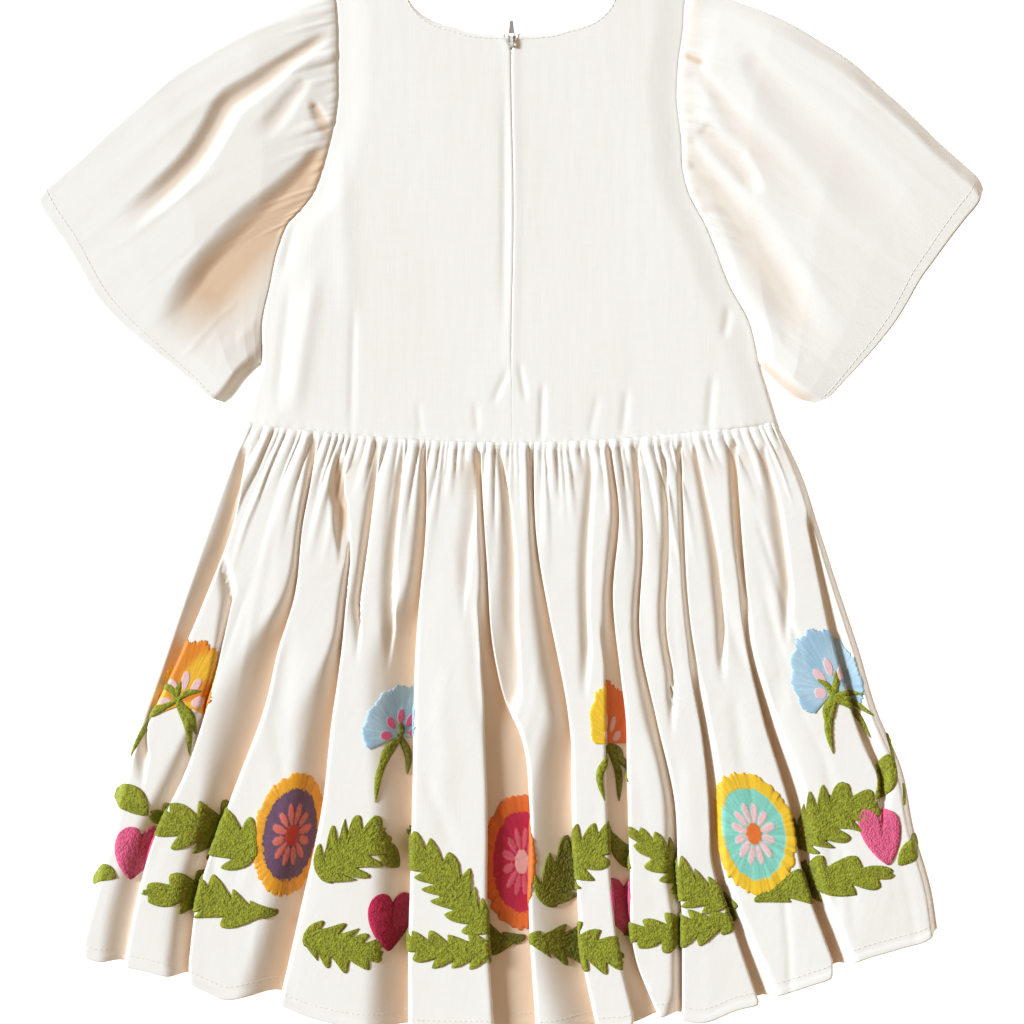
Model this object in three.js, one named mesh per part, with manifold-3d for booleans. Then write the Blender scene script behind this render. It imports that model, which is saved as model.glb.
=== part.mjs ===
// A child's dress with flutter sleeves, laid flat on its front with the back up.
// Millimetres. +X is the wearer's right, +Y points to the neck, +Z is up from the surface it lies on.
import * as THREE from "three";
import * as BufferGeometryUtils from "three/addons/utils/BufferGeometryUtils.js";
import Module from "manifold-3d";

// Named sizes of the cloth.
const WALL = 1.2;
const SEAM_GAP = 0.3;
const LAYER_LOW = WALL + SEAM_GAP;
const STEEPEST_WALL = 2.2;

// Named sizes of the waist and armhole gathers.
const SKIRT_GATHERS = 52;
const GATHER_RISE = 2.2;
const GATHER_LENGTHS = [26, 34, 20, 30, 24];
const SLEEVE_GATHERS = 16;
const SLEEVE_GATHER_RISE = 1.9;

// Named sizes of the folds.
const NARROWEST_FOLD = 3.4;
const FOLD_FLOOR = 0.3;
const FOLD_REACH = 1.45;
const FOLD_END = 16;
const SIDE_ROUNDING = 15;
const HEM_NOTCH = 5;
const FRONT_HEM_SHORTER = 12;
const SLEEVE_ROUNDING = 13;
const FOLD_STRIP = 1.4;

// Named sizes of the zip.
const TAPE_HALF_WIDTH = 8;
const TAPE_THICK = 0.8;
const COIL_HALF_WIDTH = 1.4;
const COIL_HIGH = 1.1;
const TAPE_LOW_Y = 84;
const TAPE_TOP_Y = 291.5;
const SLIT_HALF_WIDTH = 0.25;
const NECK_OPENING_HALF = 4.1;
const OVER_TAPE = 1.4;
const SLIDER_TOP_Y = 302;
const SLIDER_LOW_Y = 292.4;
const SLIDER_HALF_WIDTH = 3.6;
const SLIDER_PLATE = 1.1;
const CORE_TOP_Z = 4.5;
const BRIDGE_LOW_Y = 294.6;
const BRIDGE_TOP_Y = 301.4;
const BRIDGE_HALF_WIDTH = 0.9;
const BRIDGE_POST = 1.2;
const BRIDGE_HOLE = 2;
const BRIDGE_BAR = 1;
const PIVOT_Y = 298;
const PIVOT_Z = 5.5;
const PULL_BAR_RADIUS = 0.55;
const PULL_ARM_INNER = 1.3;
const PULL_ARM_OUTER = 2.1;
const PULL_THICK = 1;
const PULL_TAB_START = 4.9;
const PULL_TAB_END = 13;

// Bodice side, from the shoulder down the armhole to the waist: half widths to the left and right.
const SIDE_COLUMNS = ["y", "left", "right"];
const SIDE_ROWS = [
  [333, 113, 113],
  [322, 112, 111],
  [306, 111, 110],
  [284, 111, 107],
  [262, 111, 106],
  [234, 116, 109],
  [215, 121, 110],
  [200, 127, 114],
  [190, 135, 119],
  [183, 142, 123],
  [167, 149, 130],
  [141, 155, 140],
  [119, 160, 152],
  [91, 160.5, 159],
  [68, 166.5, 166],
  [52.5, 171.8, 170.6],
];
const SLEEVE_LAST_ROW = 13;

// Shoulder seam and back neckline, from the armhole to the centre.
const BACK_NECK_ROWS = [
  [113, 333],
  [99, 335],
  [85, 336.6],
  [72, 338],
  [68, 330.5],
  [65, 324],
  [56, 314.5],
  [46, 310],
  [38, 307.8],
  [30, 305.4],
  [20, 303.9],
  [11, 303.3],
  [NECK_OPENING_HALF, 303.2],
];

// Shoulder seam and the deeper front neckline, from the armhole to the centre.
const FRONT_NECK_ROWS = [
  [113, 333],
  [92, 336],
  [72, 338],
  [66, 320],
  [58, 303],
  [44, 289],
  [24, 280],
  [0, 277],
];

// Waist seam: it dips by this much from the sides to the centre.
const WAIST_SIDE_Y = 52.5;
const WAIST_DIP = 13.5;

// Skirt sides: distance below the waist seam's end, and half widths there.
const SKIRT_SIDE_ROWS = [
  [52.5, 171.8, 170.6],
  [23, 186, 185],
  [-15, 200, 197.5],
  [-54, 213, 210],
  [-92, 225.5, 222.5],
  [-131, 238.5, 234],
  [-169, 250, 250],
  [-207, 259, 257.5],
  [-246, 270.5, 268.5],
  [-276, 279, 273],
];

// Skirt hem along the tops of the waves: x and y from left to right.
const HEM_ROWS = [
  [-280, -282],
  [-274, -287],
  [-250, -292.5],
  [-225, -299.5],
  [-204, -304],
  [-184, -315],
  [-168, -314],
  [-150, -314.5],
  [-122, -328],
  [-80, -334.5],
  [0, -338],
  [60, -336],
  [85, -331.5],
  [104, -326],
  [120, -330],
  [146, -321],
  [171, -313],
  [198, -303],
  [210, -296],
  [224, -290],
  [249, -282.5],
  [268, -276],
  [274, -271],
];

// Height of the skirt's waves over the front panel, by y.
const PLATEAU_Y = [52, 30, 0, -60, -150, -340];
const PLATEAU_HIGH = [0.6, 3.4, 6.5, 9.5, 12.2, 13.5];

// Skirt valleys, one row each: share of the wave's height, then y, x and half width down the valley.
const SKIRT_FOLDS = [
  {
    name: "left_band",
    depth: 0.6,
    y: [29, -9, -60, -111, -140],
    x: [-176, -184, -204, -226, -238],
    half: [2.6, 5.5, 7, 8, 6],
  },
  {
    name: "left_crease",
    depth: 0.55,
    y: [-60, -124, -163, -220, -265, -290],
    x: [-181, -196, -211, -238, -250, -254],
    half: [3, 3, 6, 8, 9, 8],
  },
  {
    name: "left_wide",
    depth: 0.9,
    y: [42, -9, -60, -92, -124, -188, -252, -291],
    x: [-127, -135, -143, -158, -169, -188, -207, -212],
    half: [3, 2.4, 5, 12, 17, 11, 8, 8],
  },
  {
    name: "left_pocket",
    depth: 0.7,
    y: [36, 4, -20],
    x: [-110, -109, -107],
    half: [3, 6, 3],
  },
  {
    name: "left_deep",
    depth: 0.95,
    y: [-35, -60, -86, -111, -137, -188, -265, -320],
    x: [-105, -108, -111, -117, -123, -130, -146, -160],
    half: [2, 3, 4, 8, 11, 13, 13, 15],
  },
  {
    name: "upper_a",
    depth: 0.6,
    y: [29, 4, -22, -70],
    x: [-86, -91, -94, -100],
    half: [3, 4, 3.4, 2.6],
  },
  {
    name: "upper_b",
    depth: 0.6,
    y: [29, 4, -35, -70],
    x: [-71, -74, -79, -80],
    half: [2.2, 3.2, 4.5, 5],
  },
  {
    name: "mid_left_deep",
    depth: 0.95,
    y: [29, 4, -22, -60, -86, -124, -163, -227, -291, -330],
    x: [-57, -57, -59, -64, -74, -78, -77, -77, -79, -80],
    half: [2.2, 3.2, 5, 7, 14, 15, 12, 10, 11, 13],
  },
  {
    name: "ridge_crease_left",
    depth: 0.35,
    y: [23, -9, -50],
    x: [-27, -29, -33],
    half: [3.2, 3.8, 2.5],
  },
  {
    name: "centre_deep",
    depth: 0.95,
    y: [29, -35, -98, -124, -150, -188, -265, -330],
    x: [-21, -18, -16, -13, -7, -6, -6, -2],
    half: [2, 2.6, 5, 8, 13, 14, 13, 13],
  },
  {
    name: "centre_crease",
    depth: 0.5,
    y: [29, 4, -22, -86, -115],
    x: [-7, -4, -1, 0, 0],
    half: [2, 2, 2.6, 3.2, 4.5],
  },
  {
    name: "mid_right_deep",
    depth: 0.9,
    y: [29, -22, -73, -98, -124, -150, -188, -227, -291, -330],
    x: [12, 14, 20, 24, 29, 32, 32, 32, 37, 45],
    half: [2, 2.6, 5.8, 7, 6, 7, 10, 12.5, 11.5, 11.5],
  },
  {
    name: "ridge_crease_right",
    depth: 0.35,
    y: [23, -47, -100],
    x: [49, 45, 46],
    half: [3, 3.2, 2.4],
  },
  {
    name: "right_mid",
    depth: 0.8,
    y: [29, 0, -60, -111, -163, -227, -291, -325],
    x: [62, 65, 61, 64, 67, 70, 75, 86],
    half: [2, 3.2, 3.4, 5, 9, 6.4, 5.5, 10],
  },
  {
    name: "right_narrow",
    depth: 0.6,
    y: [29, -86, -137, -188, -239, -262],
    x: [78, 80, 90, 101, 103, 106],
    half: [2, 3.2, 3.8, 4.2, 5, 4],
  },
  {
    name: "right_short",
    depth: 0.5,
    y: [29, -86, -118],
    x: [95, 96, 103],
    half: [2.2, 2.2, 2],
  },
  {
    name: "right_long",
    depth: 0.7,
    y: [29, -86, -137, -188, -227, -278, -316],
    x: [105, 110, 123, 130, 132, 149, 164],
    half: [2, 2.2, 3.4, 5, 5, 5.8, 8.3],
  },
  {
    name: "right_upper",
    depth: 0.5,
    y: [29, -35, -84],
    x: [114, 124, 126],
    half: [2, 2.8, 2.4],
  },
  {
    name: "right_wide",
    depth: 0.8,
    y: [29, -22, -86, -137, -188, -239, -290],
    x: [139, 142, 149, 165, 182, 192, 211],
    half: [4.5, 3.8, 2.2, 5, 7, 6.6, 8],
  },
  {
    name: "right_soft",
    depth: 0.4,
    y: [29, 4, -22, -60],
    x: [156, 160, 164, 168],
    half: [2.8, 5, 5, 4],
  },
  {
    name: "right_band",
    depth: 0.5,
    y: [-15, -47, -98, -150, -172],
    x: [193, 201, 214, 229, 238],
    half: [3, 4.6, 6.4, 4.8, 4],
  },
];

// Sleeve top fold, from the shoulder to the tip, alike on both sides.
const SLEEVE_TOP_ROWS = [
  [113, 333],
  [145, 324],
  [177, 311],
  [199, 298],
  [218, 285.5],
  [233, 272.6],
  [247, 260],
  [261, 247],
  [274, 234],
  [288, 221.4],
  [301, 208.5],
  [303, 203.8],
];

// Sleeve hems, from the tip to the low corner: x and y on each side.
const SLEEVE_HEM_ROWS = {
  left: [
    [303, 203.8],
    [302.5, 195],
    [296.5, 183],
    [287, 170],
    [279, 157],
    [272, 144.5],
    [264, 132],
    [252, 119],
    [237, 106],
    [221, 93.4],
    [205, 80.6],
    [190.4, 68.4],
    [183.4, 66.4],
  ],
  right: [
    [303, 203.8],
    [299.5, 195],
    [290, 183],
    [280, 170],
    [270.5, 157],
    [261.5, 144.5],
    [254.5, 132],
    [246.5, 119],
    [236.5, 106],
    [225.5, 93.4],
    [213.5, 80.6],
    [200.6, 68.4],
    [194, 66],
  ],
};

// Sleeve underarm edges, from the bodice to the low corner.
const SLEEVE_UNDERARM_ROWS = {
  left: [
    [160.5, 91],
    [170.6, 81],
    [180, 69],
    [183.4, 66.4],
  ],
  right: [
    [159, 91],
    [168.6, 81],
    [184, 69],
    [194, 66],
  ],
};

// Height of the sleeve's upper layer from the armhole to the hem.
const SLEEVE_SHARE = [0, 0.05, 0.14, 0.32, 0.55, 0.8, 1];
const SLEEVE_HIGH = [0.4, 1.2, 3.6, 6.2, 7, 6.4, 5.2];

// Sleeve valleys, one row each: x, y and half width along the valley.
const SLEEVE_FOLDS = {
  left: [
    {
      name: "top_valley",
      depth: 0.55,
      x: [118, 156, 187, 208, 233, 251],
      y: [305, 273, 247, 221, 196, 183],
      half: [3, 4, 5, 5, 5, 5],
    },
    {
      name: "main_valley",
      depth: 0.8,
      x: [118, 140, 165, 199, 225],
      y: [247, 204, 179, 140, 115],
      half: [4, 6, 9, 12, 14],
    },
  ],
  right: [
    {
      name: "top_valley",
      depth: 0.35,
      x: [146, 176, 227, 257],
      y: [243, 217, 183, 162],
      half: [4, 5, 5, 6],
    },
    {
      name: "short_valley",
      depth: 0.4,
      x: [112, 138, 155],
      y: [247, 226, 204],
      half: [3.6, 4, 4],
    },
    {
      name: "main_valley",
      depth: 0.8,
      x: [114, 133, 155, 185, 206],
      y: [226, 187, 153, 115, 85],
      half: [5, 7, 9, 11, 12],
    },
    {
      name: "upper_soft",
      depth: 0.3,
      x: [150, 190, 228],
      y: [292, 262, 230],
      half: [5, 6, 6],
    },
  ],
};

const wasm = await Module();
wasm.setup();

/** A smooth step from 0 to 1. */
function smooth(value) {
  const t = Math.min(1, Math.max(0, value));
  return t * t * (3 - 2 * t);
}

/** The value at a place in a table whose keys rise or fall. */
function lookUp(keys, values, key) {
  const rising = keys[keys.length - 1] > keys[0];
  for (let i = 1; i < keys.length; i += 1) {
    const inside = rising ? key <= keys[i] : key >= keys[i];
    if (inside || i === keys.length - 1) {
      const t = (key - keys[i - 1]) / (keys[i] - keys[i - 1]);
      return THREE.MathUtils.lerp(values[i - 1], values[i], Math.min(1, Math.max(0, t)));
    }
  }
  return values[0];
}

/** The point at a share of an open line's length. */
function alongLine(rows, share) {
  const points = rows.map(([x, y]) => new THREE.Vector2(x, y));
  const reach = [0];
  for (let i = 1; i < points.length; i += 1) {
    reach.push(reach[i - 1] + points[i].distanceTo(points[i - 1]));
  }
  const wanted = reach[reach.length - 1] * share;
  return new THREE.Vector2(
    lookUp(reach, points.map((p) => p.x), wanted),
    lookUp(reach, points.map((p) => p.y), wanted),
  );
}

/** A point of a patch between four edges, blended from all four. */
function patchPoint(top, low, left, right, u, v) {
  const blend = (axis) => {
    const sides = (1 - u) * left(v)[axis] + u * right(v)[axis];
    const ends = (1 - v) * top(u)[axis] + v * low(u)[axis];
    const corners =
      (1 - u) * (1 - v) * top(0)[axis] +
      u * (1 - v) * top(1)[axis] +
      (1 - u) * v * low(0)[axis] +
      u * v * low(1)[axis];
    return sides + ends - corners;
  };
  return { x: blend("x"), y: blend("y") };
}

/** One closed wall from a grid of points that each have x, y, low and, if wanted, high. */
function wallGeometry(grid) {
  const rows = grid.length;
  const columns = grid[0].length;
  const slope = (j, i, axis) => {
    const a = axis === "u" ? grid[j][Math.max(0, i - 1)] : grid[Math.max(0, j - 1)][i];
    const b = axis === "u" ? grid[j][Math.min(columns - 1, i + 1)] : grid[Math.min(rows - 1, j + 1)][i];
    return (b.low - a.low) / Math.max(0.5, Math.hypot(b.x - a.x, b.y - a.y));
  };
  const positions = [];
  for (const side of ["low", "high"]) {
    for (let j = 0; j < rows; j += 1) {
      for (let i = 0; i < columns; i += 1) {
        const p = grid[j][i];
        const steep = Math.hypot(1, slope(j, i, "u"), slope(j, i, "v"));
        const high = p.high ?? p.low + Math.min(STEEPEST_WALL, WALL * steep);
        positions.push(p.x, p.y, side === "low" ? p.low : high);
      }
    }
  }
  const triangles = [];
  const at = (layer, j, i) => layer * rows * columns + j * columns + i;
  const quad = (a, b, c, d) => triangles.push(a, b, c, a, c, d);
  for (let j = 0; j + 1 < rows; j += 1) {
    for (let i = 0; i + 1 < columns; i += 1) {
      quad(at(1, j, i), at(1, j + 1, i), at(1, j + 1, i + 1), at(1, j, i + 1));
      quad(at(0, j, i), at(0, j, i + 1), at(0, j + 1, i + 1), at(0, j + 1, i));
    }
  }
  for (let i = 0; i + 1 < columns; i += 1) {
    quad(at(0, 0, i), at(1, 0, i), at(1, 0, i + 1), at(0, 0, i + 1));
    quad(at(0, rows - 1, i), at(0, rows - 1, i + 1), at(1, rows - 1, i + 1), at(1, rows - 1, i));
  }
  for (let j = 0; j + 1 < rows; j += 1) {
    quad(at(0, j, 0), at(0, j + 1, 0), at(1, j + 1, 0), at(1, j, 0));
    quad(at(0, j, columns - 1), at(1, j, columns - 1), at(1, j + 1, columns - 1), at(0, j + 1, columns - 1));
  }
  const a = grid[0][0];
  const b = grid[0][columns - 1];
  const c = grid[rows - 1][0];
  const turned = (b.x - a.x) * (c.y - a.y) - (b.y - a.y) * (c.x - a.x) > 0;
  if (turned) {
    triangles.reverse();
  }
  const geometry = new THREE.BufferGeometry();
  geometry.setAttribute("position", new THREE.Float32BufferAttribute(positions, 3));
  geometry.setIndex(triangles);
  return geometry;
}

/** A geometry as a solid for booleans. */
function toSolid(geometry) {
  const position = geometry.getAttribute("position");
  const mesh = new wasm.Mesh({
    numProp: 3,
    vertProperties: new Float32Array(position.array),
    triVerts: new Uint32Array(geometry.index.array),
  });
  return new wasm.Manifold(mesh);
}

/** A boolean's result as a geometry. */
function toGeometry(solid) {
  const mesh = solid.getMesh();
  const geometry = new THREE.BufferGeometry();
  geometry.setAttribute("position", new THREE.Float32BufferAttribute(mesh.vertProperties, 3));
  geometry.setIndex(Array.from(mesh.triVerts));
  return geometry;
}

/** A geometry whose shared corners are merged, with positions alone. */
function merged(geometry) {
  geometry.deleteAttribute("normal");
  geometry.deleteAttribute("uv");
  return BufferGeometryUtils.mergeVertices(geometry);
}

/** A prism from a flat outline, between two heights along the third axis. */
function prism(outline, from, to) {
  const shape = new THREE.Shape(outline.map(([x, y]) => new THREE.Vector2(x, y)));
  const geometry = new THREE.ExtrudeGeometry(shape, { depth: to - from, bevelEnabled: false });
  geometry.translate(0, 0, from);
  return merged(geometry);
}

/** A prism whose outline lies in Y and Z, between two places along X. */
function crossPrism(outline, from, to) {
  return prism(outline, from, to).rotateX(Math.PI / 2).rotateZ(Math.PI / 2);
}

/** How much of a valley lies at a point, from 0 to its depth. */
function skirtValley(fold, x, y) {
  const last = fold.y.length - 1;
  const before = smooth(1 - (y - fold.y[0]) / FOLD_END);
  const after = smooth(1 - (fold.y[last] - y) / FOLD_END);
  const middle = lookUp(fold.y, fold.x, y);
  const half = Math.max(NARROWEST_FOLD, lookUp(fold.y, fold.half, y));
  const away = Math.abs(x - middle) / half;
  return fold.depth * before * after * (1 - smooth((away - FOLD_FLOOR) / (FOLD_REACH - FOLD_FLOOR)));
}

/** How much of the skirt's wave height is left between its valleys at a point. */
function skirtOpen(x, y) {
  return SKIRT_FOLDS.reduce((share, fold) => share * (1 - skirtValley(fold, x, y)), 1);
}

/** Height of the back skirt over the front panel at a point. */
function skirtLift(x, y) {
  const sideY = SKIRT_SIDE_ROWS.map((row) => row[0]);
  const left = -lookUp(sideY, SKIRT_SIDE_ROWS.map((row) => row[1]), y);
  const right = lookUp(sideY, SKIRT_SIDE_ROWS.map((row) => row[2]), y);
  const inside = Math.min(x - left, right - x);
  return lookUp(PLATEAU_Y, PLATEAU_HIGH, y) * skirtOpen(x, y) * smooth(inside / SIDE_ROUNDING);
}

/** A point of the waist seam, for a share from left to right. */
function waistPoint(share) {
  const [first] = SKIRT_SIDE_ROWS;
  const x = THREE.MathUtils.lerp(-first[1], first[2], share);
  const y = WAIST_SIDE_Y - WAIST_DIP * (1 - (2 * share - 1) ** 2);
  return new THREE.Vector2(x, y);
}

/** A skirt panel's grid of places, with the hem shortened by a given amount. */
function skirtPatch(shorter) {
  const top = (u) => {
    const p = waistPoint(u);
    return { x: p.x, y: p.y - SEAM_GAP / 2 };
  };
  const keys = HEM_ROWS.map((row) => row[0]);
  const low = (u) => {
    const x = THREE.MathUtils.lerp(keys[0], keys[keys.length - 1], u);
    return { x, y: lookUp(keys, HEM_ROWS.map((row) => row[1]), x) + shorter(x) };
  };
  const side = (column, sign, end) => (v) => {
    const startY = WAIST_SIDE_Y - SEAM_GAP / 2;
    const y = THREE.MathUtils.lerp(startY, end.y, v);
    const drift = end.x - sign * SKIRT_SIDE_ROWS[SKIRT_SIDE_ROWS.length - 1][column];
    const x = sign * lookUp(SKIRT_SIDE_ROWS.map((row) => row[0]), SKIRT_SIDE_ROWS.map((row) => row[column]), y);
    return { x: v === 0 ? sign * SKIRT_SIDE_ROWS[0][column] : x + drift * v, y };
  };
  const left = side(1, -1, low(0));
  const right = side(2, 1, low(1));
  return (u, v) => patchPoint(top, low, left, right, u, v);
}

/** The back skirt panel: sharp gathers at the waist that run out into deep soft folds. */
function skirtBack() {
  const columns = SKIRT_GATHERS * 2;
  const shares = [0, 0.022, 0.05, 0.09, 0.15, 0.23, 0.33, 0.44, 0.56, 0.68, 0.8, 0.91, 1];
  const notch = (x) => HEM_NOTCH * (1 - skirtOpen(x, -320));
  const place = skirtPatch(notch);
  const grid = shares.map((v) => {
    const row = [];
    for (let i = 0; i <= columns; i += 1) {
      const { x, y } = place(i / columns, v);
      const waist = waistPoint(i / columns);
      const length = GATHER_LENGTHS[i % GATHER_LENGTHS.length];
      const gather = i % 2 === 1 ? GATHER_RISE * (1 - smooth((waist.y - y) / length)) : 0;
      row.push({ x, y, low: LAYER_LOW + Math.max(gather, skirtLift(x, y) + 0.6 * gather) });
    }
    return row;
  });
  return wallGeometry(grid);
}

/** A flat panel against the surface, from a place function. */
function flatPanel(place, columns, rows) {
  const grid = [];
  for (let j = 0; j <= rows; j += 1) {
    const row = [];
    for (let i = 0; i <= columns; i += 1) {
      row.push({ ...place(i / columns, j / rows), low: 0, high: WALL });
    }
    grid.push(row);
  }
  return wallGeometry(grid);
}

/** The front skirt panel, flat against the surface it lies on. */
function skirtFront() {
  return flatPanel(skirtPatch(() => FRONT_HEM_SHORTER), SKIRT_GATHERS / 2, 8);
}

/** The bodice's side line on one side, moved in from the seam. */
function sidePoint(index, side) {
  const row = SIDE_ROWS[index];
  const sign = side === "left" ? -1 : 1;
  const inset = SEAM_GAP / 2;
  return { x: sign * (row[SIDE_COLUMNS.indexOf(side)] - inset), y: row[0] };
}

/** A bodice grid between a top line, the waist and two side functions. */
function bodiceGrid(topLine, sideA, sideB, waistShare, heights) {
  const last = SIDE_ROWS.length - 1;
  const top = (u) => {
    const [x, y] = topLine[Math.round(u * (topLine.length - 1))];
    return { x, y };
  };
  const low = (u) => {
    const p = waistPoint(waistShare(u));
    const x = THREE.MathUtils.lerp(sideA(last).x, sideB(last).x, u);
    return { x, y: p.y + SEAM_GAP / 2 };
  };
  const drop = (j) => (SIDE_ROWS[0][0] - SIDE_ROWS[j][0]) / (SIDE_ROWS[0][0] - SIDE_ROWS[last][0]);
  return SIDE_ROWS.map((_, j) => {
    const v = drop(j);
    return topLine.map((__, i) => {
      const u = i / (topLine.length - 1);
      const { x, y } = patchPoint(top, low, () => sideA(j), () => sideB(j), u, v);
      return { x, y, ...heights(x, y, j) };
    });
  });
}

/** One half of the back bodice, from the armhole to the zip. */
function bodiceBack(side) {
  const sign = side === "left" ? -1 : 1;
  const last = SIDE_ROWS.length - 1;
  const topLine = BACK_NECK_ROWS.map(([x, y]) => [sign * x, y]);
  topLine[0] = [sidePoint(0, side).x, SIDE_ROWS[0][0]];
  const centreTop = BACK_NECK_ROWS[BACK_NECK_ROWS.length - 1][1];
  const centreLow = WAIST_SIDE_Y - WAIST_DIP + SEAM_GAP / 2;
  const outer = (j) => (j === last ? { x: sidePoint(j, side).x, y: WAIST_SIDE_Y + SEAM_GAP / 2 } : sidePoint(j, side));
  const inner = (j) => {
    const v = (SIDE_ROWS[0][0] - SIDE_ROWS[j][0]) / (SIDE_ROWS[0][0] - SIDE_ROWS[last][0]);
    const half = j === 0 ? NECK_OPENING_HALF : SLIT_HALF_WIDTH;
    return { x: sign * half, y: THREE.MathUtils.lerp(centreTop, centreLow, v) };
  };
  const share = (u) => (side === "left" ? 0.5 * u : 1 - 0.5 * u);
  const heights = (x, y, j) => {
    const reach = Math.abs(sidePoint(j, side).x) - Math.abs(x);
    return { low: LAYER_LOW + OVER_TAPE * smooth(reach / 22) };
  };
  return wallGeometry(bodiceGrid(topLine, outer, inner, share, heights));
}

/** The front bodice, one flat piece with a deeper neckline. */
function bodiceFront() {
  const last = SIDE_ROWS.length - 1;
  const half = FRONT_NECK_ROWS.slice(0, -1);
  const mirrored = [...half].reverse().map(([x, y]) => [x, y]);
  const topLine = [...FRONT_NECK_ROWS.map(([x, y]) => [-x, y]), ...mirrored];
  topLine[0] = [sidePoint(0, "left").x, SIDE_ROWS[0][0]];
  topLine[topLine.length - 1] = [sidePoint(0, "right").x, SIDE_ROWS[0][0]];
  const edge = (side) => (j) =>
    j === last ? { x: sidePoint(j, side).x, y: WAIST_SIDE_Y + SEAM_GAP / 2 } : sidePoint(j, side);
  return wallGeometry(bodiceGrid(topLine, edge("left"), edge("right"), (u) => u, () => ({ low: 0, high: WALL })));
}

/** Distance from a point to a bent line, and the share of the line's points reached there. */
function nearLine(fold, x, y) {
  let best = { away: Infinity, place: 0 };
  for (let i = 0; i + 1 < fold.x.length; i += 1) {
    const dx = fold.x[i + 1] - fold.x[i];
    const dy = fold.y[i + 1] - fold.y[i];
    const t = Math.min(1, Math.max(0, ((x - fold.x[i]) * dx + (y - fold.y[i]) * dy) / (dx * dx + dy * dy)));
    const away = Math.hypot(x - fold.x[i] - t * dx, y - fold.y[i] - t * dy);
    if (away < best.away) {
      best = { away, place: i + t };
    }
  }
  return best;
}

/** How much of the sleeve's height is left between its valleys, for a point with x to the outside. */
function sleeveOpen(side, x, y) {
  return SLEEVE_FOLDS[side].reduce((share, fold) => {
    const { away, place } = nearLine(fold, x, y);
    const half = lookUp(fold.half.map((_, i) => i), fold.half, place);
    const valley = fold.depth * (1 - smooth((away / half - FOLD_FLOOR) / (FOLD_REACH - FOLD_FLOOR)));
    return share * (1 - valley);
  }, 1);
}

/** The stations down a sleeve's armhole: two for each gather, then the bodice side's own rows. */
function armholeStations() {
  const gathered = SLEEVE_GATHERS * 2;
  const lastGathered = 6;
  const stations = [];
  for (let k = 0; k <= gathered; k += 1) {
    stations.push({ row: (k * lastGathered) / gathered, gather: k % 2 });
  }
  for (let row = lastGathered + 0.5; row <= SLEEVE_LAST_ROW; row += 0.5) {
    stations.push({ row, gather: 0 });
  }
  return stations;
}

/** A flutter sleeve: one flattened open tube, folded at its top edge and at the underarm. */
function sleeve(side) {
  const sign = side === "left" ? -1 : 1;
  const column = SIDE_COLUMNS.indexOf(side);
  const rows = SIDE_ROWS.map((_, i) => i);
  const inner = (row) => ({
    x: lookUp(rows, SIDE_ROWS.map((r) => r[column]), row) + SEAM_GAP / 2,
    y: lookUp(rows, SIDE_ROWS.map((r) => r[0]), row),
  });
  const stations = armholeStations();
  const reach = [0];
  for (let k = 1; k < stations.length; k += 1) {
    const a = inner(stations[k - 1].row);
    const b = inner(stations[k].row);
    reach.push(reach[k - 1] + Math.hypot(a.x - b.x, a.y - b.y));
  }
  const shareOf = (k) => reach[k] / reach[reach.length - 1];
  const whole = (v) => inner(lookUp(stations.map((_, k) => shareOf(k)), stations.map((s) => s.row), v));
  const topEdge = [[SIDE_ROWS[0][column] + SEAM_GAP / 2, SIDE_ROWS[0][0]], ...SLEEVE_TOP_ROWS.slice(1)];
  const underarm = SLEEVE_UNDERARM_ROWS[side].map(([x, y], i) => [i === 0 ? x + SEAM_GAP / 2 : x, y]);
  const place = (u, v) =>
    patchPoint(
      (share) => alongLine(topEdge, share),
      (share) => alongLine(underarm, share),
      whole,
      (share) => alongLine(SLEEVE_HEM_ROWS[side], share),
      u,
      v,
    );
  const total = reach[reach.length - 1];
  const strips = [FOLD_STRIP / total, (FOLD_STRIP + 0.6) / total];
  const shares = stations.map((station, k) => ({ v: shareOf(k), gather: station.gather, joined: k === 0 }));
  const last = shares.length - 1;
  shares[last].joined = true;
  shares.splice(last, 0, { v: 1 - strips[1], gather: 0, joined: false }, { v: 1 - strips[0], gather: 0, joined: true });
  shares.splice(1, 0, { v: strips[0], gather: 0, joined: true }, { v: strips[1], gather: 0, joined: false });
  const grid = shares.map(({ v, gather, joined }) =>
    SLEEVE_SHARE.map((u) => {
      const { x, y } = place(u, v);
      const edge = total * Math.min(v, 1 - v);
      const lift = lookUp(SLEEVE_SHARE, SLEEVE_HIGH, u) * sleeveOpen(side, x, y) * smooth(edge / SLEEVE_ROUNDING);
      const gathered = SLEEVE_GATHER_RISE * gather * (1 - smooth(u / 0.2));
      const base = joined ? { low: WALL / 2, high: LAYER_LOW + WALL + 0.05 } : { low: LAYER_LOW + lift + gathered };
      return { x: sign * x, y, ...base };
    }),
  );
  const plateShares = [0.002, ...stations.slice(1, -1).filter((s) => s.gather === 0).map((s) => s.row), 0.998];
  const plateGrid = plateShares.map((value, k) => {
    const isEnd = k === 0 || k === plateShares.length - 1;
    const v = isEnd ? value : shareOf(stations.findIndex((s) => s.row === value));
    return [0, 0.25, 0.5, 0.75, 1].map((u) => {
      const p = place(THREE.MathUtils.lerp(0, 1, u), v);
      return { x: sign * p.x, y: p.y, low: 0, high: WALL };
    });
  });
  const upper = toSolid(wallGeometry(grid));
  const lower = toSolid(wallGeometry(plateGrid));
  return toGeometry(upper.add(lower));
}

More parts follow.
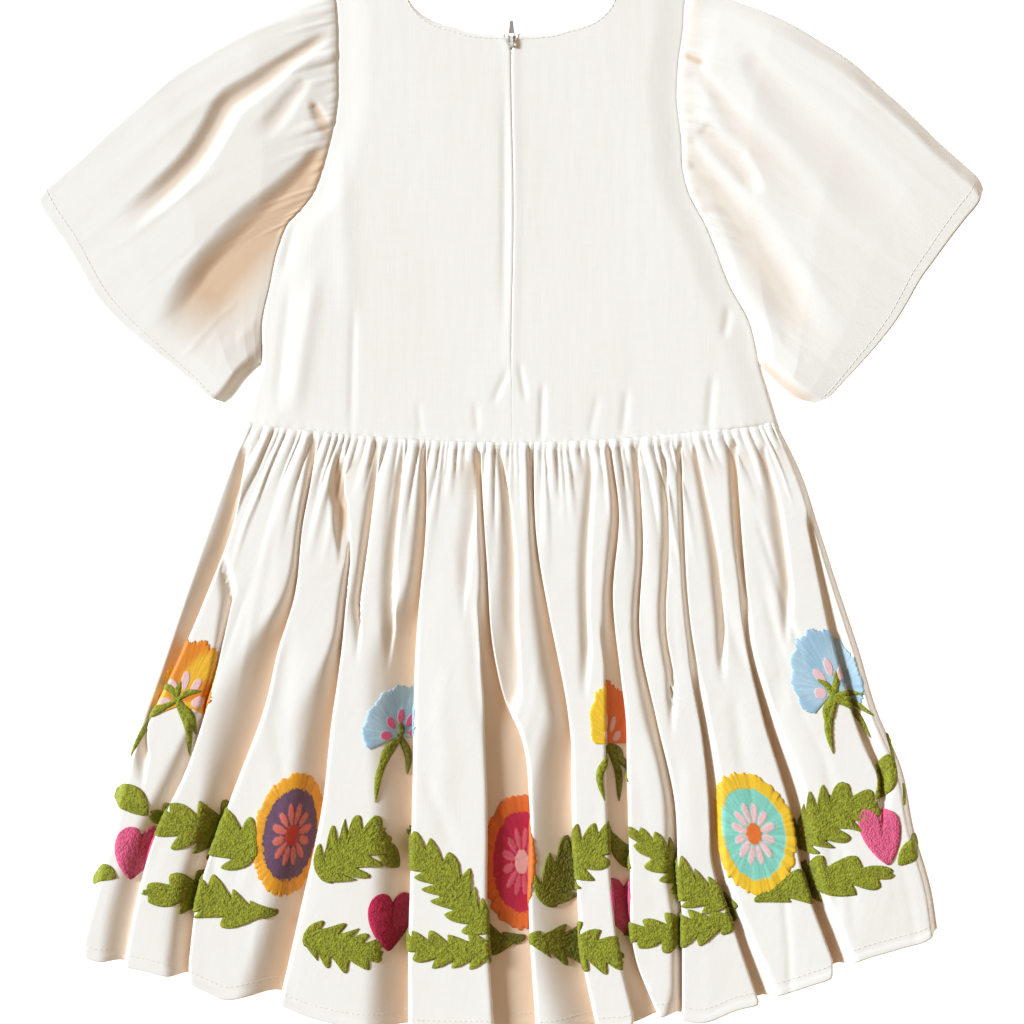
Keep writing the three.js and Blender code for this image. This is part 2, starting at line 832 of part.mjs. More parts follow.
/** The zip's two tapes, closed by their coil, under the back bodice. */
function zipTape() {
  const low = LAYER_LOW;
  const outline = [
    [-TAPE_HALF_WIDTH, low],
    [TAPE_HALF_WIDTH, low],
    [TAPE_HALF_WIDTH, low + TAPE_THICK],
    [COIL_HALF_WIDTH, low + TAPE_THICK],
    [COIL_HALF_WIDTH * 0.6, low + COIL_HIGH],
    [-COIL_HALF_WIDTH * 0.6, low + COIL_HIGH],
    [-COIL_HALF_WIDTH, low + TAPE_THICK],
    [-TAPE_HALF_WIDTH, low + TAPE_THICK],
  ];
  return prism(outline, -TAPE_TOP_Y, -TAPE_LOW_Y).rotateX(Math.PI / 2);
}

/** The slider: a plate under the cloth, a core in the neck opening and the bridge over it. */
function zipSlider() {
  const plate = prism(
    [
      [-SLIDER_HALF_WIDTH * 0.7, SLIDER_LOW_Y],
      [SLIDER_HALF_WIDTH * 0.7, SLIDER_LOW_Y],
      [SLIDER_HALF_WIDTH, SLIDER_TOP_Y - 3],
      [SLIDER_HALF_WIDTH * 0.8, SLIDER_TOP_Y],
      [-SLIDER_HALF_WIDTH * 0.8, SLIDER_TOP_Y],
      [-SLIDER_HALF_WIDTH, SLIDER_TOP_Y - 3],
    ],
    LAYER_LOW,
    LAYER_LOW + SLIDER_PLATE,
  );
  const core = prism(
    [
      [-0.4, BRIDGE_LOW_Y],
      [0.4, BRIDGE_LOW_Y],
      [2.6, BRIDGE_TOP_Y],
      [-2.6, BRIDGE_TOP_Y],
    ],
    LAYER_LOW + SLIDER_PLATE / 2,
    CORE_TOP_Z,
  );
  const bar = CORE_TOP_Z + BRIDGE_HOLE;
  const bridge = crossPrism(
    [
      [BRIDGE_LOW_Y, CORE_TOP_Z - 0.2],
      [BRIDGE_LOW_Y + BRIDGE_POST, CORE_TOP_Z - 0.2],
      [BRIDGE_LOW_Y + BRIDGE_POST, bar],
      [BRIDGE_TOP_Y - BRIDGE_POST, bar],
      [BRIDGE_TOP_Y - BRIDGE_POST, CORE_TOP_Z - 0.2],
      [BRIDGE_TOP_Y, CORE_TOP_Z - 0.2],
      [BRIDGE_TOP_Y, bar + BRIDGE_BAR * 0.5],
      [BRIDGE_TOP_Y - 1, bar + BRIDGE_BAR],
      [BRIDGE_LOW_Y + 1, bar + BRIDGE_BAR],
      [BRIDGE_LOW_Y, bar + BRIDGE_BAR * 0.5],
    ],
    -BRIDGE_HALF_WIDTH,
    BRIDGE_HALF_WIDTH,
  );
  return toGeometry(toSolid(plate).add(toSolid(core)).add(toSolid(bridge)));
}

/** The pull: a bar through the bridge, two arms and a slender tab that points over the neckline. */
function zipPull() {
  const bar = merged(new THREE.CylinderGeometry(PULL_BAR_RADIUS, PULL_BAR_RADIUS, 2 * PULL_ARM_OUTER, 12))
    .rotateZ(Math.PI / 2)
    .translate(0, PIVOT_Y, PIVOT_Z);
  const low = PIVOT_Z - PULL_THICK / 2;
  const high = PIVOT_Z + PULL_THICK / 2;
  const arm = (from, to) =>
    prism(
      [
        [from, PIVOT_Y - 0.2],
        [to, PIVOT_Y - 0.2],
        [to, PIVOT_Y + PULL_TAB_START + 0.4],
        [from, PIVOT_Y + PULL_TAB_START + 0.4],
      ],
      low,
      high,
    );
  const tab = prism(
    [
      [-PULL_ARM_OUTER, PIVOT_Y + PULL_TAB_START],
      [PULL_ARM_OUTER, PIVOT_Y + PULL_TAB_START],
      [1.5, PIVOT_Y + PULL_TAB_START + 3],
      [1.2, PIVOT_Y + PULL_TAB_END - 0.8],
      [0.5, PIVOT_Y + PULL_TAB_END],
      [-0.5, PIVOT_Y + PULL_TAB_END],
      [-1.2, PIVOT_Y + PULL_TAB_END - 0.8],
      [-1.5, PIVOT_Y + PULL_TAB_START + 3],
    ],
    low,
    high,
  );
  const armRight = toSolid(arm(PULL_ARM_INNER, PULL_ARM_OUTER));
  const armLeft = toSolid(arm(-PULL_ARM_OUTER, -PULL_ARM_INNER));
  return toGeometry(toSolid(bar).add(armRight).add(armLeft).add(toSolid(tab)));
}

/** A named mesh with its own material. */
function piece(name, geometry, color, roughness, metalness) {
  const mesh = new THREE.Mesh(geometry, new THREE.MeshStandardMaterial({ color, roughness, metalness }));
  mesh.name = name;
  return mesh;
}

const dress = new THREE.Group();
const cloth = [0xf4f1ea, 0.9, 0];
dress.add(piece("bodice_front", bodiceFront(), ...cloth));
dress.add(piece("bodice_back_left", bodiceBack("left"), ...cloth));
dress.add(piece("bodice_back_right", bodiceBack("right"), ...cloth));
dress.add(piece("sleeve_left", sleeve("left"), ...cloth));
dress.add(piece("sleeve_right", sleeve("right"), ...cloth));
dress.add(piece("skirt_back", skirtBack(), ...cloth));
dress.add(piece("skirt_front", skirtFront(), ...cloth));
dress.add(piece("zip_tape", zipTape(), 0xefece4, 0.8, 0));
dress.add(piece("zip_slider", zipSlider(), 0xe8e6e0, 0.4, 0.2));
dress.add(piece("zip_pull", zipPull(), 0xe8e6e0, 0.4, 0.2));

export default dress;
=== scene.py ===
"""Child's dress with flutter sleeves, laid flat with its back up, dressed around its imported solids."""

import logging
import math
from dataclasses import dataclass, field
from enum import Enum
from typing import Callable

import bpy
import numpy as np
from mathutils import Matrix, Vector


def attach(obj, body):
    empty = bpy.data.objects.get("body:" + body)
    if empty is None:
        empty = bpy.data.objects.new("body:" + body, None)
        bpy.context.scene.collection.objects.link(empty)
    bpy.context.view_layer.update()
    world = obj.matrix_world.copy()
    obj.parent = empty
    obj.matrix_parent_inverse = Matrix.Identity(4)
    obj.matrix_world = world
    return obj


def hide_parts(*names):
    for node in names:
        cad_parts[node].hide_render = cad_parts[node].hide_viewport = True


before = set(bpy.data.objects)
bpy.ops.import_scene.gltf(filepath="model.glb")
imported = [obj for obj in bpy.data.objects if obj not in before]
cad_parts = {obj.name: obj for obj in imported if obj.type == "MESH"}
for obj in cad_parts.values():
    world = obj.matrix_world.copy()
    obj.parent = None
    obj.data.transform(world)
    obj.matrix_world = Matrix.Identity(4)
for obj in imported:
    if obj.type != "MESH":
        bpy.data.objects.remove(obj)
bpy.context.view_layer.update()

log = logging.getLogger("dress")

# All sizes in this file are millimetres until a mesh is made.
MM = 0.001
DRESS = "dress"

# Cloth levels above the surface that the dress lies on.
FRONT_LOW = 0.15
FRONT_HIGH = 0.75
BACK_BASE = 2.1
SEAM_LEVEL = 1.0
CLOTH_THICK = 0.5

# The front skirt's length, as a share of the back's.
FRONT_SKIRT_SHARE = 0.968

# Bodice side, from the shoulder down the armhole to the waist: y, then half widths left and right.
SIDE_ROWS = (
    (333, 113, 113), (322, 112, 111), (306, 111, 110), (284, 111, 107), (262, 111, 106),
    (234, 116, 109), (215, 121, 110), (200, 127, 114), (190, 135, 119), (183, 142, 123),
    (167, 149, 130), (141, 155, 140), (119, 160, 152), (91, 160.5, 159), (68, 166.5, 166),
    (52.5, 171.8, 170.6),
)
SLEEVE_LAST_ROW = 13

# Shoulder seam and back neckline, from the armhole to the centre.
BACK_NECK_ROWS = (
    (113, 333), (99, 335), (85, 336.6), (72, 338), (68, 330.5), (65, 324), (56, 314.5),
    (46, 310), (38, 307.8), (30, 305.4), (20, 303.9), (11, 303.3), (4.1, 303.2),
)
BACK_NECK_CORNER = 3

# Shoulder seam and the deeper front neckline, from the armhole to the centre.
FRONT_NECK_ROWS = (
    (113, 333), (92, 336), (72, 338), (66, 320), (58, 303), (44, 289), (24, 280), (0, 277),
)
FRONT_NECK_CORNER = 2

# Waist seam: it dips by this much from the sides to the centre.
WAIST_SIDE_Y = 52.5
WAIST_DIP = 13.5

# Skirt sides: y, then half widths left and right.
SKIRT_SIDE_ROWS = (
    (52.5, 171.8, 170.6), (23, 186, 185), (-15, 200, 197.5), (-54, 213, 210), (-92, 225.5, 222.5),
    (-131, 238.5, 234), (-169, 250, 250), (-207, 259, 257.5), (-246, 270.5, 268.5), (-276, 279, 273),
)

# Skirt hem along the tops of the waves: x and y from left to right.
HEM_ROWS = (
    (-280, -282), (-274, -287), (-250, -292.5), (-225, -299.5), (-204, -304), (-184, -315),
    (-168, -314), (-150, -314.5), (-122, -328), (-80, -334.5), (0, -338), (60, -336),
    (85, -331.5), (104, -326), (120, -330), (146, -321), (171, -313), (198, -303),
    (210, -296), (224, -290), (249, -282.5), (268, -276), (274, -271),
)

# Height of the skirt's waves over the front panel, by y.
PLATEAU_Y = (54, 44, 30, 0, -60, -150, -340)
PLATEAU_HIGH = (0.6, 2.6, 4.6, 7, 9.6, 12.2, 13.5)

# Sleeve outlines, with x to the outside.
SLEEVE_TOP_ROWS = (
    (113, 333), (145, 324), (177, 311), (199, 298), (218, 285.5), (233, 272.6), (247, 260),
    (261, 247), (274, 234), (288, 221.4), (301, 208.5), (303, 203.8),
)
SLEEVE_HEM_ROWS = {
    "left": (
        (303, 203.8), (302.5, 195), (296.5, 183), (287, 170), (279, 157), (272, 144.5), (264, 132),
        (252, 119), (237, 106), (221, 93.4), (205, 80.6), (190.4, 68.4), (183.4, 66.4),
    ),
    "right": (
        (303, 203.8), (299.5, 195), (290, 183), (280, 170), (270.5, 157), (261.5, 144.5), (254.5, 132),
        (246.5, 119), (236.5, 106), (225.5, 93.4), (213.5, 80.6), (200.6, 68.4), (194, 66),
    ),
}
SLEEVE_UNDERARM_ROWS = {
    "left": ((160.5, 91), (170.6, 81), (180, 69), (183.4, 66.4)),
    "right": ((159, 91), (168.6, 81), (184, 69), (194, 66)),
}
SLEEVE_SHARE = (0, 0.04, 0.1, 0.25, 0.55, 0.8, 1)
SLEEVE_HIGH = (0.8, 2.2, 3.8, 5.9, 7.0, 6.4, 5.4)


class Side(Enum):
    """The two sides of the dress, as its back is seen."""

    LEFT = "left"
    RIGHT = "right"

    @property
    def sign(self) -> float:
        """The sign of x on this side."""
        return -1.0 if self is Side.LEFT else 1.0

    @property
    def column(self) -> int:
        """The column of this side in the side tables."""
        return 1 if self is Side.LEFT else 2

    @property
    def slit_dip(self) -> float:
        """How far this side's edge dips at the zip; the left edge dips under the right one."""
        return 0.42 if self is Side.LEFT else 0.08


class Held(Enum):
    """How a sheet of cloth is held: gathered or laid."""

    GATHERED = "gathered"
    LAID = "laid"


def smooth(value: np.ndarray | float) -> np.ndarray:
    """A smooth step from 0 to 1."""
    t = np.clip(value, 0.0, 1.0)
    return t * t * (3 - 2 * t)


def rounded(value: np.ndarray | float) -> np.ndarray:
    """A quarter circle's rise from 0 to 1, for a folded edge."""
    t = np.clip(value, 0.0, 1.0)
    return np.sqrt(1 - (1 - t) ** 2)


def follow(keys: tuple, values: tuple, at: np.ndarray) -> np.ndarray:
    """Values of a table joined by smooth curves.

    Args:
        keys: the table's keys, rising or falling.
        values: the value at each key.
        at: where values are wanted; past the ends the last value holds.

    Returns:
        One value for each place.
    """
    k = np.asarray(keys, float)
    v = np.asarray(values, float)
    if k[0] > k[-1]:
        k, v = k[::-1], v[::-1]
    slope = np.gradient(v, k)
    place = np.clip(at, k[0], k[-1])
    i = np.clip(np.searchsorted(k, place) - 1, 0, len(k) - 2)
    h = k[i + 1] - k[i]
    t = (place - k[i]) / h
    t2 = t * t
    t3 = t2 * t
    start = (2 * t3 - 3 * t2 + 1) * v[i] + (t3 - 2 * t2 + t) * h * slope[i]
    end = (3 * t2 - 2 * t3) * v[i + 1] + (t3 - t2) * h * slope[i + 1]
    return start + end


def column(rows: tuple, index: int) -> tuple:
    """One column of a table of rows."""
    return tuple(row[index] for row in rows)


class Line:
    """A smooth open line through a few points, walked by a share of its length."""

    def __init__(self, rows: tuple, corner: int | None = None) -> None:
        """Smooths the points, and keeps one of them a sharp corner.

        Args:
            rows: x and y of each point.
            corner: the index of the point that stays sharp.
        """
        spans = [rows] if corner is None else [rows[: corner + 1], rows[corner:]]
        parts = [self._smoothed(np.asarray(span, float)) for span in spans]
        self.points = np.concatenate([parts[0], *[part[1:] for part in parts[1:]]])
        step = np.linalg.norm(np.diff(self.points, axis=0), axis=1)
        self.reach = np.concatenate([[0.0], np.cumsum(step)])
        first = np.linalg.norm(np.diff(parts[0], axis=0), axis=1).sum()
        self.corner_share = float(first / self.reach[-1])

    @staticmethod
    def _smoothed(points: np.ndarray, steps: int = 24) -> np.ndarray:
        """Points of one smooth span.

        Args:
            points: x and y of each point.
            steps: places from one point to the next.

        Returns:
            x and y of each place.
        """
        chord = np.linalg.norm(np.diff(points, axis=0), axis=1)
        keys = np.concatenate([[0.0], np.cumsum(chord)])
        at = np.linspace(0, keys[-1], steps * (len(points) - 1) + 1)
        return np.stack([follow(keys, points[:, 0], at), follow(keys, points[:, 1], at)], axis=-1)

    @property
    def length(self) -> float:
        """Length of the line."""
        return float(self.reach[-1])

    def at(self, share: np.ndarray) -> np.ndarray:
        """Points at shares of the length.

        Args:
            share: shares from 0 to 1.

        Returns:
            x and y of each point.
        """
        wanted = np.asarray(share, float) * self.reach[-1]
        x = np.interp(wanted, self.reach, self.points[:, 0])
        y = np.interp(wanted, self.reach, self.points[:, 1])
        return np.stack([x, y], axis=-1)


Edge = Callable[[np.ndarray], np.ndarray]
Place = Callable[[np.ndarray, np.ndarray], np.ndarray]


def patch(top: Edge, low: Edge, left: Edge, right: Edge, u: np.ndarray, v: np.ndarray) -> np.ndarray:
    """Points of a patch between four edges, blended from all four.

    Args:
        top: the edge at v = 0, by u.
        low: the edge at v = 1, by u.
        left: the edge at u = 0, by v.
        right: the edge at u = 1, by v.
        u: shares across, of the same shape as v.
        v: shares down.

    Returns:
        x and y of each place, in a last axis of two.
    """
    across = u[..., None]
    down = v[..., None]
    sides = (1 - across) * left(v) + across * right(v)
    ends = (1 - down) * top(u) + down * low(u)
    zero = np.zeros(1)
    one = np.ones(1)
    corners = (
        (1 - across) * (1 - down) * top(zero)[0]
        + across * (1 - down) * top(one)[0]
        + (1 - across) * down * low(zero)[0]
        + across * down * low(one)[0]
    )
    return sides + ends - corners


def grid_faces(rows: int, columns: int, start: int = 0, flip: bool = False) -> np.ndarray:
    """Quads of a grid whose rows run down and columns to the right, facing up.

    Args:
        rows: number of rows of points.
        columns: number of points in a row.
        start: index of the first point.
        flip: True to face down.

    Returns:
        Four corners for each quad.
    """
    a = start + np.arange(rows - 1)[:, None] * columns + np.arange(columns - 1)[None, :]
    quads = np.stack([a, a + columns, a + columns + 1, a + 1], axis=-1).reshape(-1, 4)
    return quads[:, ::-1] if flip else quads


def grid_normals(points: np.ndarray) -> np.ndarray:
    """Unit normals of a grid that faces up.

    Args:
        points: rows by columns by three.

    Returns:
        A unit direction for each point.
    """
    across = np.gradient(points, axis=1)
    down = np.gradient(points, axis=0)
    normal = np.cross(across, -down)
    return normal / np.maximum(np.linalg.norm(normal, axis=-1, keepdims=True), 1e-9)


def make_object(
    name: str,
    points: np.ndarray,
    faces: list,
    uv: np.ndarray | None = None,
    colours: np.ndarray | None = None,
    painted_shade: np.ndarray | None = None,
) -> bpy.types.Object:
    """A mesh object at the origin, smooth shaded.

    Args:
        name: the piece's name.
        points: places in millimetres.
        faces: corner indices of each face.
        uv: cloth coordinates of each point in metres.
        colours: linear red, green and blue of each point, kept as the thread attribute.
        painted_shade: share of painted shade from 0 to 1 at each point, kept as a point attribute of the same
            name that the materials turn into a warm shade tint.

    Returns:
        The new object.
    """
    mesh = bpy.data.meshes.new(name)
    mesh.from_pydata((np.asarray(points) * MM).tolist(), [], faces)
    mesh.validate()
    mesh.polygons.foreach_set("use_smooth", np.ones(len(mesh.polygons), bool))
    if uv is not None:
        corners = np.zeros(len(mesh.loops), np.int32)
        mesh.loops.foreach_get("vertex_index", corners)
        layer = mesh.uv_layers.new(name="cloth")
        layer.data.foreach_set("uv", np.asarray(uv)[corners].ravel())
    if colours is not None:
        layer = mesh.color_attributes.new("thread", "FLOAT_COLOR", "POINT")
        full = np.concatenate([colours, np.ones((len(colours), 1))], axis=1)
        layer.data.foreach_set("color", full.ravel())
    if painted_shade is not None:
        layer = mesh.attributes.new("painted_shade", "FLOAT", "POINT")
        layer.data.foreach_set("value", np.asarray(painted_shade, float).ravel())
    mesh.update()
    piece = bpy.data.objects.new(name, mesh)
    bpy.context.scene.collection.objects.link(piece)
    return piece


def select_only(piece: bpy.types.Object) -> None:
    """Deselects everything, then selects one object and makes it active.

    Args:
        piece: the object.
    """
    bpy.ops.object.select_all(action="DESELECT")
    piece.select_set(True)
    bpy.context.view_layer.objects.active = piece


def apply_modifiers(piece: bpy.types.Object) -> None:
    """Applies every modifier of an object in order."""
    select_only(piece)
    for modifier in list(piece.modifiers):
        bpy.ops.object.modifier_apply(modifier=modifier.name)


def thicken(piece: bpy.types.Object, thick: float = CLOTH_THICK) -> None:
    """Gives a sheet its thickness, inwards from its outer face.

    Args:
        piece: the sheet.
        thick: its thickness.
    """
    solid = piece.modifiers.new("thickness", "SOLIDIFY")
    solid.thickness = thick * MM
    solid.offset = -1
    apply_modifiers(piece)


def take_place(piece: bpy.types.Object, node: str, cloth: bpy.types.Material) -> bpy.types.Object:
    """Gives a panel its cloth and puts it in its solid's place on the dress.

    Args:
        piece: the finished panel.
        node: the solid that it replaces.
        cloth: its material.

    Returns:
        The same panel.
    """
    piece.data.materials.append(cloth)
    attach(piece, DRESS)
    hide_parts(node)
    return piece


def linear(colour: tuple) -> np.ndarray:
    """Linear values of a colour given in 0 to 255 as a screen shows it."""
    c = np.asarray(colour, float) / 255
    return np.where(c <= 0.04045, c / 12.92, ((c + 0.055) / 1.055) ** 2.4)


@dataclass(frozen=True)
class Palette:
    """Colours of the threads, in 0 to 255 as a screen shows them."""

    leaf: tuple = (158, 164, 36)
    pink: tuple = (245, 105, 150)
    crimson: tuple = (205, 35, 85)
    yellow: tuple = (252, 205, 45)
    orange: tuple = (238, 140, 25)
    aqua: tuple = (140, 218, 200)
    violet: tuple = (112, 80, 108)
    blue: tuple = (165, 202, 225)
    rose: tuple = (248, 205, 208)
    coral: tuple = (228, 115, 98)
    red: tuple = (205, 55, 35)
    tangerine: tuple = (242, 125, 45)
    mauve: tuple = (228, 110, 140)
    marigold: tuple = (246, 172, 36)
    sky: tuple = (190, 222, 240)
    thread: tuple = (240, 236, 226)


THREADS = Palette()


class Shader:
    """A material's node tree, with short calls that add and join nodes."""

    # The mix node's colour sockets: the first, the second and the result.
    MIX_FIRST = 6
    MIX_SECOND = 7
    MIX_RESULT = 2
    PER_MM = (1000, 1000, 1000)

    def __init__(self, name: str) -> None:
        """Starts from the principled shader.

        Args:
            name: the material's name.
        """
        self.material = bpy.data.materials.new(name)
        self.material.use_nodes = True
        self.tree = self.material.node_tree
        self.surface = self.tree.nodes["Principled BSDF"]

    def add(self, kind: str, inputs: dict | None = None, **settings: object) -> bpy.types.Node:
        """Adds a node, sets its options and fills or joins its inputs.

        Args:
            kind: Blender's name for the node type.
            inputs: values or sockets by input name or index.
            settings: the node's own options.

        Returns:
            The new node.
        """
        node = self.tree.nodes.new(kind)
        for key, value in settings.items():
            setattr(node, key, value)
        for key, value in (inputs or {}).items():
            self.put(node, key, value)
        return node

    def put(self, node: bpy.types.Node, key: str | int, value: object) -> None:
        """Sets an input, or joins a socket to it.

        Args:
            node: the node.
            key: the input's name or index.
            value: a value or a socket.
        """
        if isinstance(value, bpy.types.NodeSocket):
            self.tree.links.new(value, node.inputs[key])
        else:
            node.inputs[key].default_value = value

    def scaled(self, source: bpy.types.NodeSocket, scale: tuple) -> bpy.types.NodeSocket:
        """Coordinates multiplied along each axis."""
        node = self.add("ShaderNodeVectorMath", {0: source, 1: scale}, operation="MULTIPLY")
        return node.outputs["Vector"]

    def noise(self, source: bpy.types.NodeSocket, scale: float, detail: float = 2) -> bpy.types.NodeSocket:
        """Soft noise between 0 and 1."""
        node = self.add("ShaderNodeTexNoise", {"Vector": source, "Scale": scale, "Detail": detail})
        return node.outputs["Fac"]

    def object_mm(self) -> bpy.types.NodeSocket:
        """Object coordinates in millimetres."""
        return self.scaled(self.add("ShaderNodeTexCoord").outputs["Object"], self.PER_MM)

    def tint_painted_shade(self, colour: bpy.types.NodeSocket, tint: tuple) -> bpy.types.NodeSocket:
        """A colour with painted shade: multiplied towards a tint as far as the point attribute of painted
        shade says.
        """
        painted_shade = self.add("ShaderNodeAttribute", attribute_name="painted_shade").outputs["Fac"]
        return self.blend(1.0, colour, self.blend(painted_shade, rgba((1, 1, 1)), rgba(tint)), "MULTIPLY")

    def maths(self, operation: str, a: object, b: object) -> bpy.types.NodeSocket:
        """One sum, product or other step on two values."""
        return self.add("ShaderNodeMath", {0: a, 1: b}, operation=operation).outputs[0]

    def blend(self, share: object, a: object, b: object, kind: str = "MIX") -> bpy.types.NodeSocket:
        """A colour between two colours.

        Args:
            share: how much of the second colour.
            a: the first colour.
            b: the second colour.
            kind: Blender's name for how they mix.

        Returns:
            The mixed colour.
        """
        node = self.add("ShaderNodeMix", {"Factor": share}, data_type="RGBA", blend_type=kind)
        self.put(node, self.MIX_FIRST, a)
        self.put(node, self.MIX_SECOND, b)
        return node.outputs[self.MIX_RESULT]

    def bump(self, height: bpy.types.NodeSocket, distance: float) -> None:
        """Raises the surface by a height, after any bump that is there.

        Args:
            height: a height from 0 to 1.
            distance: its full height in metres.
        """
        inputs = {"Height": height, "Distance": distance, "Strength": 1.0}
        normal = self.surface.inputs["Normal"]
        if normal.is_linked:
            inputs["Normal"] = normal.links[0].from_socket
        self.put(self.surface, "Normal", self.add("ShaderNodeBump", inputs).outputs["Normal"])


def rgba(colour: np.ndarray | tuple) -> tuple:
    """A colour with full alpha."""
    return (*[float(c) for c in colour], 1.0)


@dataclass(frozen=True)
class ClothFinish:
    """Soft off-white plain weave with slubs, on cloth coordinates in metres, with a warm tan painted shade in
    the valleys.
    """

    name: str = "off_white_cloth"
    colour: tuple = (0.925, 0.905, 0.86)
    slub_colour: tuple = (0.90, 0.872, 0.815)
    # Painted shade: the warm tan that the cloth's colour is multiplied by, deep in the valleys and between
    # the gathers.
    painted_shade_tint: tuple = (0.83, 0.62, 0.45)
    thread_pitch: float = 0.6
    weave_high: float = 0.03
    slub_high: float = 0.045
    crumple_high: float = 0.4
    roughness: float = 0.88
    sheen: float = 0.12

    def build(self) -> bpy.types.Material:
        """Makes the material."""
        shader = Shader(self.name)
        cloth = shader.add("ShaderNodeUVMap", uv_map="cloth").outputs["UV"]
        per_mm = shader.scaled(cloth, shader.PER_MM)
        slub_long = shader.noise(shader.scaled(per_mm, (1.1, 0.035, 1)), 1.0, 2)
        slub_cross = shader.noise(shader.scaled(per_mm, (0.03, 0.9, 1)), 1.0, 2)
        slubs = shader.maths("ADD", slub_long, shader.maths("MULTIPLY", slub_cross, 0.6))
        tone = shader.maths("MULTIPLY", shader.maths("SUBTRACT", slubs, 0.62), 1.6)
        mixed = shader.blend(tone, rgba(self.colour), rgba(self.slub_colour))
        # The painted shade tint is laid over the slub colour.
        shader.put(shader.surface, "Base Color", shader.tint_painted_shade(mixed, self.painted_shade_tint))
        crumple = shader.noise(shader.scaled(per_mm, (0.035, 0.016, 1)), 1.0, 4)
        shader.bump(crumple, self.crumple_high * MM)
        shader.bump(slubs, self.slub_high * MM)
        threads = {"Vector": per_mm, "Scale": 0.314 / self.thread_pitch, "Distortion": 0.4}
        warp = shader.add("ShaderNodeTexWave", threads, bands_direction="X")
        weft = shader.add("ShaderNodeTexWave", threads, bands_direction="Y")
        weave = shader.maths("ADD", warp.outputs["Fac"], weft.outputs["Fac"])
        shader.bump(weave, self.weave_high * MM)
        shader.put(shader.surface, "Roughness", self.roughness)
        shader.put(shader.surface, "Sheen Weight", self.sheen)
        shader.put(shader.surface, "Sheen Roughness", 0.4)
        shader.put(shader.surface, "Specular IOR Level", 0.2)
        return shader.material


class Texture(Enum):
    """How a thread finish feels."""

    SATIN = "satin"
    LOOPED = "looped"
    SEWING = "sewing"


@dataclass(frozen=True)
class ThreadFinish:
    """Embroidery thread in the colours of the thread attribute, with painted shade where the stitches lie in
    the cloth's valleys.
    """

    name: str
    texture: Texture
    roughness: float
    sheen: float
    bump_high: float
    # Painted shade tint for the stitches that lie in the cloth's valleys.
    painted_shade_tint: tuple = (0.6, 0.46, 0.36)

    def build(self) -> bpy.types.Material:
        """Makes the material."""
        shader = Shader(self.name)
        thread = shader.add("ShaderNodeAttribute", attribute_name="thread").outputs["Color"]
        per_mm = shader.object_mm()
        # Looped stitches darken with distance from each cell's middle, where the bump is lowest: a painted
        # shade in the pits between loops. Satin and sewing threads get an uneven tone at random.
        if self.texture is Texture.LOOPED:
            cells = shader.add("ShaderNodeTexVoronoi", {"Vector": per_mm, "Scale": 0.8})
            height = shader.maths("SUBTRACT", 1.0, cells.outputs["Distance"])
            shade = shader.maths("POWER", cells.outputs["Distance"], 1.5)
        else:
            height = shader.noise(per_mm, 2.2, 2)
            shade = shader.noise(per_mm, 0.8, 2)
        dark = shader.blend(1.0, thread, (0.55, 0.5, 0.45, 1), "MULTIPLY")
        amount = shader.maths("MULTIPLY", shade, 0.75 if self.texture is Texture.LOOPED else 0.3)
        shaded = shader.blend(amount, thread, dark)
        shader.put(shader.surface, "Base Color", shader.tint_painted_shade(shaded, self.painted_shade_tint))
        shader.bump(height, self.bump_high * MM)
        shader.put(shader.surface, "Roughness", self.roughness)
        shader.put(shader.surface, "Sheen Weight", self.sheen)
        return shader.material


@dataclass(frozen=True)
class EnamelFinish:
    """Enamel or bare steel on the zip's metal, with small worn spots."""

    name: str = "zip_enamel"
    colour: tuple = (0.87, 0.85, 0.81)
    metallic: float = 0.08
    roughness: float = 0.34

    def build(self) -> bpy.types.Material:
        """Makes the material."""
        shader = Shader(self.name)
        wear = shader.noise(shader.object_mm(), 0.9, 4)
        worn = shader.maths("GREATER_THAN", wear, 0.62)
        colour = shader.blend(worn, rgba(self.colour), rgba((0.45, 0.43, 0.40)))
        shader.put(shader.surface, "Base Color", colour)
        shader.bump(wear, 0.02 * MM)
        shader.put(shader.surface, "Metallic", self.metallic)
        shader.put(shader.surface, "Roughness", self.roughness)
        return shader.material


@dataclass(frozen=True)
class TapeFinish:
    """Fine herringbone tape of the zip."""

    name: str = "zip_tape_weave"
    colour: tuple = (0.80, 0.76, 0.69)

    def build(self) -> bpy.types.Material:
        """Makes the material."""
        shader = Shader(self.name)
        per_mm = shader.object_mm()
        ribs = shader.add("ShaderNodeTexWave", {"Vector": per_mm, "Scale": 0.45}, bands_direction="DIAGONAL")
        tone = shader.maths("MULTIPLY", ribs.outputs["Fac"], 0.35)
        dark = tuple(0.8 * c for c in self.colour)
        shader.put(shader.surface, "Base Color", shader.blend(tone, rgba(self.colour), rgba(dark)))
        shader.bump(ribs.outputs["Fac"], 0.08 * MM)
        shader.put(shader.surface, "Roughness", 0.8)
        return shader.material


@dataclass(frozen=True)
class Wardrobe:
    """Every finish of the dress, made once."""

    cloth: bpy.types.Material
    satin: bpy.types.Material
    looped: bpy.types.Material
    sewing: bpy.types.Material
    enamel: bpy.types.Material
    steel: bpy.types.Material
    tape: bpy.types.Material


